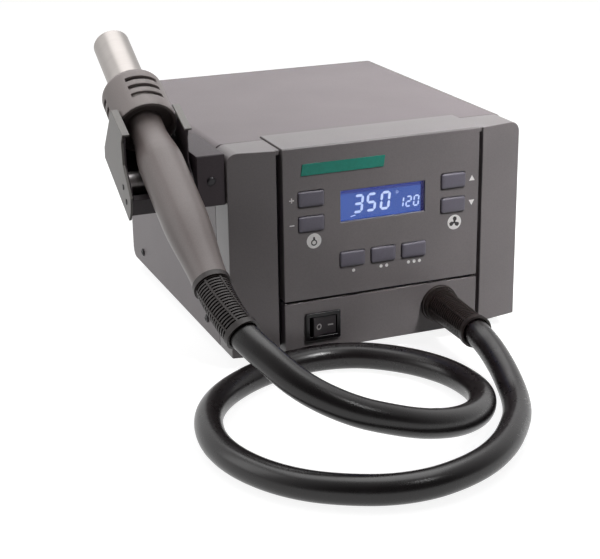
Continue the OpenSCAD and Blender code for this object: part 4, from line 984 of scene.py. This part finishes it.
# The finish, the shank's length, and each screw's place and the way that its head looks
SORTS = {
    "cover_screws": ("screw_black", 6.0, [
        ((side * HALF_WIDTH, y, COVER_SCREWS_Z), (side, 0, 0))
        for y in COVER_SCREWS_Y for side in LEFT_AND_RIGHT]),
    "rear_screws": ("screw_black", 6.0, [
        ((side * REAR_SCREWS_X, CASE_DEPTH, REAR_SCREWS_Z), (0, 1, 0))
        for side in LEFT_AND_RIGHT]),
    "inlet_screws": ("screw_steel", 9.0, [
        ((INLET_X + side * INLET_REACH, CASE_DEPTH + INLET_PROUD, INLET_Z), (0, 1, 0))
        for side in LEFT_AND_RIGHT]),
    "foot_screws": ("screw_steel", 8.2, [
        ((side * FOOT_SCREWS_X, y, FOOT_HEIGHT / 2), (0, 0, -1))
        for y in FOOT_SCREWS_Y for side in LEFT_AND_RIGHT]),
}
for node, (slot_name, shank_length, places) in SORTS.items():
    seed = bpy.data.meshes.new(node + "_places")
    seed.from_pydata([place(*where) for where, _ in places], [], [])
    aims = seed.attributes.new("aim", "FLOAT_VECTOR", "POINT")
    for k, (_, direction) in enumerate(places):
        aims.data[k].vector = direction
    made = grow(node + "_set", seed, screw_tree, {
        "Head Radius": HEAD_RADIUS * MM, "Head Height": HEAD_HEIGHT * MM,
        "Shank Radius": SHANK_RADIUS * MM, "Shank Length": shank_length * MM,
        "Finish": FINISHES[slot_name]})
    smooth(made, SCREW_SMOOTH)
    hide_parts(node)
    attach(made, ROOT)
    print(node, "faces:", len(made.data.polygons))

# %% [markdown]
# The strain reliefs are rubber sleeves cut by rows of small slots, so that they bend with the
# hose. What is left is a stack of thin rings with long ridges across them, like ladders side by
# side. Cutting the slots out of a sleeve would take more than a hundred booleans. Building what
# is left is simpler: the path is resampled to one point for each ring, one ring is built, and
# each copy is turned to the path and scaled to the taper. The first and last are thick ends.

# %% Relief tree, the rings
relief_tree, size = new_tree("slotted_strain_relief", {
    "Root Radius": "Float", "Tip Radius": "Float", "Wall": "Float", "Rings": "Int",
    "Ring Width": "Float", "Pitch": "Float", "End Width": "Float", "Stub Radius": "Float",
    "Stub Share": "Float", "Finish": "Material"})
RING_SIDES = 40
END_SWELL = 1.1

curve = add(relief_tree, "GeometryNodeMeshToCurve", None, {"Mesh": size["Geometry"]})
points = add(relief_tree, "GeometryNodeResampleCurve", None,
             {"Curve": curve, "Count": size["Rings"]})
index = add(relief_tree, "GeometryNodeInputIndex")
last = add(relief_tree, MATH, MINUS, {0: size["Rings"], 1: 1.0})
near_last = add(relief_tree, MATH, MINUS, {0: last, 1: 0.5})
is_first = add(relief_tree, MATH, {"operation": "LESS_THAN"}, {0: index, 1: 0.5})
is_last = add(relief_tree, MATH, {"operation": "GREATER_THAN"}, {0: index, 1: near_last})
is_end = add(relief_tree, MATH, {"operation": "MAXIMUM"}, {0: is_first, 1: is_last})
# The ring has a radius of 1, so its scale is the sleeve's radius at that ring
wall_share = add(relief_tree, MATH, OVER, {0: size["Wall"], 1: size["Root Radius"]})
half_wall = add(relief_tree, MATH, TIMES, {0: wall_share, 1: 0.5})
ring_middle = add(relief_tree, MATH, MINUS, {0: 1.0, 1: half_wall})
profile = add(relief_tree, "GeometryNodeCurvePrimitiveQuadrilateral", None,
              {"Width": wall_share, "Height": size["Ring Width"]})
hoop = add(relief_tree, "GeometryNodeCurvePrimitiveCircle", None,
           {"Resolution": RING_SIDES, "Radius": ring_middle})
ring = add(relief_tree, "GeometryNodeCurveToMesh", None,
           {"Curve": hoop, "Profile Curve": profile, "Fill Caps": False})
# The sleeve's radius at a ring, which the ends swell, and an end's width against a ring's
share = add(relief_tree, "GeometryNodeSplineParameter").outputs["Factor"]
taper = add(relief_tree, MATH, MINUS, {0: size["Tip Radius"], 1: size["Root Radius"]})
gained = add(relief_tree, MATH, TIMES, {0: share, 1: taper})
radius = add(relief_tree, MATH, PLUS, {0: size["Root Radius"], 1: gained})
swell = add(relief_tree, MATH, TIMES_PLUS, {0: is_end, 1: END_SWELL - 1.0, 2: 1.0})
swollen = add(relief_tree, MATH, TIMES, {0: radius, 1: swell})
wider = add(relief_tree, MATH, OVER, {0: size["End Width"], 1: size["Ring Width"]})
extra = add(relief_tree, MATH, MINUS, {0: wider, 1: 1.0})
long = add(relief_tree, MATH, TIMES_PLUS, {0: is_end, 1: extra, 2: 1.0})
ring_size = add(relief_tree, XYZ, None, {"X": swollen, "Y": swollen, "Z": long})
tangent = add(relief_tree, "GeometryNodeInputTangent")
facing = add(relief_tree, "FunctionNodeAlignRotationToVector", {"axis": "Z"},
             {"Vector": tangent})
rings = add(relief_tree, "GeometryNodeInstanceOnPoints", None,
            {"Points": points, "Instance": ring, "Rotation": facing, "Scale": ring_size})
print("relief tree nodes for the rings:", len(relief_tree.nodes))

# %% [markdown]
# The ridges are built in the same way: a set of short blocks round the ring's middle bridges
# the gap to the next ring, and each ring but the last gets a copy. Inside, a stub fills the
# sleeve's root. The hose is pushed on it, so it is as thick as the hose, and it keeps the slots
# from showing daylight.

# %% Relief tree, the ridges and the stub
RIDGES, RIDGE_SHARE, RIDGE_PROUD = 7, 0.12, 1.015

ridge_size = add(relief_tree, XYZ, None, {"X": wall_share, "Y": RIDGE_SHARE, "Z": size["Pitch"]})
half_pitch = add(relief_tree, MATH, TIMES, {0: size["Pitch"], 1: 0.5})
ridges = []
for k in range(RIDGES):
    t = 2 * math.pi * (k + 0.5) / RIDGES
    block = add(relief_tree, "GeometryNodeMeshCube", None, {"Size": ridge_size})
    x = add(relief_tree, MATH, TIMES, {0: ring_middle, 1: RIDGE_PROUD * math.cos(t)})
    y = add(relief_tree, MATH, TIMES, {0: ring_middle, 1: RIDGE_PROUD * math.sin(t)})
    where = add(relief_tree, XYZ, None, {"X": x, "Y": y, "Z": half_pitch})
    ridges.append(add(relief_tree, "GeometryNodeTransform", None,
                      {"Geometry": block, "Rotation": (0, 0, t), "Translation": where}))
ridge_set = add(relief_tree, "GeometryNodeJoinGeometry", None, {"Geometry": ridges})
not_last = add(relief_tree, MATH, MINUS, {0: 1.0, 1: is_last})
bridge_size = add(relief_tree, XYZ, None, {"X": radius, "Y": radius, "Z": 1.0})
bridges = add(relief_tree, "GeometryNodeInstanceOnPoints", None,
              {"Points": points, "Selection": not_last, "Instance": ridge_set,
               "Rotation": facing, "Scale": bridge_size})
stub_path = add(relief_tree, "GeometryNodeTrimCurve", {"mode": "FACTOR"},
                {"Curve": curve, "End": size["Stub Share"]})
stub_circle = add(relief_tree, "GeometryNodeCurvePrimitiveCircle", None,
                  {"Resolution": RING_SIDES, "Radius": size["Stub Radius"]})
stub = add(relief_tree, "GeometryNodeCurveToMesh", None,
           {"Curve": stub_path, "Profile Curve": stub_circle, "Fill Caps": True})
sleeve = add(relief_tree, "GeometryNodeJoinGeometry", None,
             {"Geometry": [stub, rings, bridges]})
close_tree(relief_tree, sleeve, size["Finish"])
print("relief tree nodes in all:", len(relief_tree.nodes))

# %% [markdown]
# The two sleeves share the tree. The outlet's one is straight and rides on the station, the
# handle's one is bent and rides on the handle. The hose runs on inside them up to the stubs, so
# nobody can look through the slots.

# %% Strain reliefs
# The body, the path, its length, the outer radius at the root and at the tip, and the rings
RELIEFS = {
    "outlet_strain_relief": (ROOT, outlet_relief_at, OUTLET_RELIEF, 9.9, 9.0, 22),
    "handle_strain_relief": ("handle", handle_relief_at, HANDLE_RELIEF, 9.3, 8.8, 20),
}
RING_SHARE, RELIEF_WALL, END_WIDTH = 0.52, 1.3, 3.2
PATH_STEPS, SLEEVE_SMOOTH = 24, 40
for node, (body_name, at, length, root, tip, count) in RELIEFS.items():
    seed = bpy.data.meshes.new(node + "_path")
    between_ends = length - END_WIDTH
    inside = [END_WIDTH / 2 + between_ends * k / PATH_STEPS for k in range(PATH_STEPS + 1)]
    seed.from_pydata([place(*at(s)) for s in inside], [(k, k + 1) for k in range(PATH_STEPS)], [])
    pitch = between_ends / (count - 1)
    made = grow(node + "_sleeve", seed, relief_tree, {
        "Root Radius": root * MM, "Tip Radius": tip * MM, "Wall": RELIEF_WALL * MM,
        "Rings": count, "Ring Width": pitch * RING_SHARE * MM, "Pitch": pitch * MM,
        "End Width": END_WIDTH * MM, "Stub Radius": HOSE_WIDTH / 2 * MM,
        "Stub Share": (length - TUCKED_IN - END_WIDTH / 2) / between_ends,
        "Finish": FINISHES["black_rubber"]})
    smooth(made, SLEEVE_SMOOTH)
    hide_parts(node)
    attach(made, body_name)
    low = Vector(map(min, zip(*(v.co for v in made.data.vertices))))
    high = Vector(map(max, zip(*(v.co for v in made.data.vertices))))
    print(node, "size, mm:", [round(v / MM, 1) for v in high - low], "pitch:", round(pitch, 2))

# %% [markdown]
# The station stands in a white room. Seen by the camera, or mirrored in metal, the room is
# plain white. It lights the matte surfaces only faintly, because the lamps do that. Its front,
# behind the camera, is dimmer, as in any studio: that gives dark plastic something to reflect.
# A ramp along Y gives the front and the back their own brightness.

# %% Studio room
ROOM_FRONT, ROOM_BACK = 0.12, 1.0
RAMP_FROM, RAMP_TO = -0.7, 0.35
ROOM_FOR_DIFFUSE = 0.36
WHITE = linear("#FFFFFF")

world = bpy.data.worlds.new("studio")
bpy.context.scene.world = world
world.use_nodes = True
tree = world.node_tree
tree.nodes.clear()
rays = add(tree, "ShaderNodeLightPath").outputs
direction = add(tree, "ShaderNodeTexCoord").outputs["Generated"]
split = add(tree, "ShaderNodeSeparateXYZ", None, {0: direction})
room = add(tree, "ShaderNodeMapRange", None,
           {"Value": split.outputs["Y"], "From Min": RAMP_FROM, "From Max": RAMP_TO,
            "To Min": ROOM_FRONT, "To Max": ROOM_BACK})
mirrored = add(tree, "ShaderNodeMath", {"operation": "MAXIMUM"},
               {0: rays["Is Glossy Ray"], 1: rays["Is Transmission Ray"]})
share = add(tree, "ShaderNodeMapRange", None,
            {"Value": mirrored, "To Min": ROOM_FOR_DIFFUSE, "To Max": 1.0})
lit = add(tree, "ShaderNodeMath", {"operation": "MULTIPLY"}, {0: room, 1: share})
strength = add(tree, "ShaderNodeMix", {"data_type": "FLOAT"},
               {0: rays["Is Camera Ray"], 2: lit, 3: 1.0})
back = add(tree, "ShaderNodeBackground", None, {"Color": WHITE, "Strength": strength})
add(tree, "ShaderNodeOutputWorld", None, {"Surface": back})
print("room brightness, front to back:", ROOM_FRONT, "to", ROOM_BACK)

# %% [markdown]
# The floor is a sheet of white paper. To the camera, and in mirrors, it shines almost white and
# darkens only where something shades it. To all other light it is a plain grey, because a floor
# that is white for every ray throws so much light up that the station's dark sides turn pale.
# It lies a fifth of a millimetre below the feet, so that no faces coincide.

# %% Paper floor
FLOOR_HALF, FLOOR_DROP = 6.0, 0.0002
PAPER_GLOW, PAPER_SHADE, FLOOR_GREY = 0.88, 0.28, "#484848"

bm = bmesh.new()
bmesh.ops.create_grid(bm, x_segments=1, y_segments=1, size=FLOOR_HALF)
bmesh.ops.translate(bm, verts=bm.verts, vec=(0, 0, -FLOOR_DROP))
floor = mesh_object("floor", bm)
paper = bpy.data.materials.new("white_paper")
paper.use_nodes = True
tree = paper.node_tree
tree.nodes.clear()
rays = add(tree, "ShaderNodeLightPath").outputs
seen = add(tree, "ShaderNodeMath", {"operation": "MAXIMUM"},
           {0: rays["Is Camera Ray"], 1: rays["Is Glossy Ray"]})
seen = add(tree, "ShaderNodeMath", {"operation": "MAXIMUM"},
           {0: seen, 1: rays["Is Transmission Ray"]})
shade = add(tree, "ShaderNodeBsdfDiffuse", None,
            {"Color": (PAPER_SHADE, PAPER_SHADE, PAPER_SHADE, 1.0)})
glow = add(tree, "ShaderNodeEmission", None, {"Color": WHITE, "Strength": PAPER_GLOW})
bright = add(tree, "ShaderNodeAddShader", None, {0: shade, 1: glow})
plain = add(tree, "ShaderNodeBsdfDiffuse", None, {"Color": linear(FLOOR_GREY)})
mix = add(tree, "ShaderNodeMixShader", None, {0: seen, 1: plain, 2: bright})
add(tree, "ShaderNodeOutputMaterial", None, {"Surface": mix})
floor.data.materials.append(paper)
floor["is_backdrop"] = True
print("floor side, m:", 2 * FLOOR_HALF)

# %% [markdown]
# Three soft boxes light the station. The top one hangs a little behind it and to its right, so
# that the cover and the handle's upper side are bright. The left one stands behind the front's
# plane and lights the side. The right one is small and hangs high in front. A grid keeps its
# beam narrow, and it aims above the right wing, so that the light fades to the left across the
# front: the right wing is light and the left one dark, as in the photograph.

# %% Lights
OPEN, GRIDDED = 180.0, 30.0
# Where the box hangs, where it aims, its width and height in metres, its power and its spread
BOXES = {
    "top_box": ((0.08, 0.3, 1.25), (0, 0, 0.05), 1.4, 1.2, 11.2, OPEN),
    "left_box": ((-1.1, 0.25, 0.7), (-0.1, 0, 0.08), 0.7, 0.9, 2.9, OPEN),
    "right_box": ((0.42, -0.62, 0.9), (0.21, -0.06, 0.2), 0.3, 0.3, 0.6, GRIDDED),
}
for name, (where, aim, width, height, power, spread) in BOXES.items():
    data = bpy.data.lights.new(name, "AREA")
    data.shape = "RECTANGLE"
    data.size = width
    data.size_y = height
    data.energy = power
    data.spread = math.radians(spread)
    box = bpy.data.objects.new(name, data)
    box.location = where
    box.rotation_euler = (Vector(aim) - Vector(where)).to_track_quat("-Z", "Y").to_euler()
    box.visible_camera = False
    bpy.context.collection.objects.link(box)
bpy.context.scene.view_settings.view_transform = "Standard"
print("lamps:", len(BOXES))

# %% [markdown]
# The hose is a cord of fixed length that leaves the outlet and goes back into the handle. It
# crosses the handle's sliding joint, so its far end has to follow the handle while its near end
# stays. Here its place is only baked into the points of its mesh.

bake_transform(hose)

# %% [markdown]
# Last, the box round every shown piece of the dressed station is measured.

# %% Measure the dressed station
low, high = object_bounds()
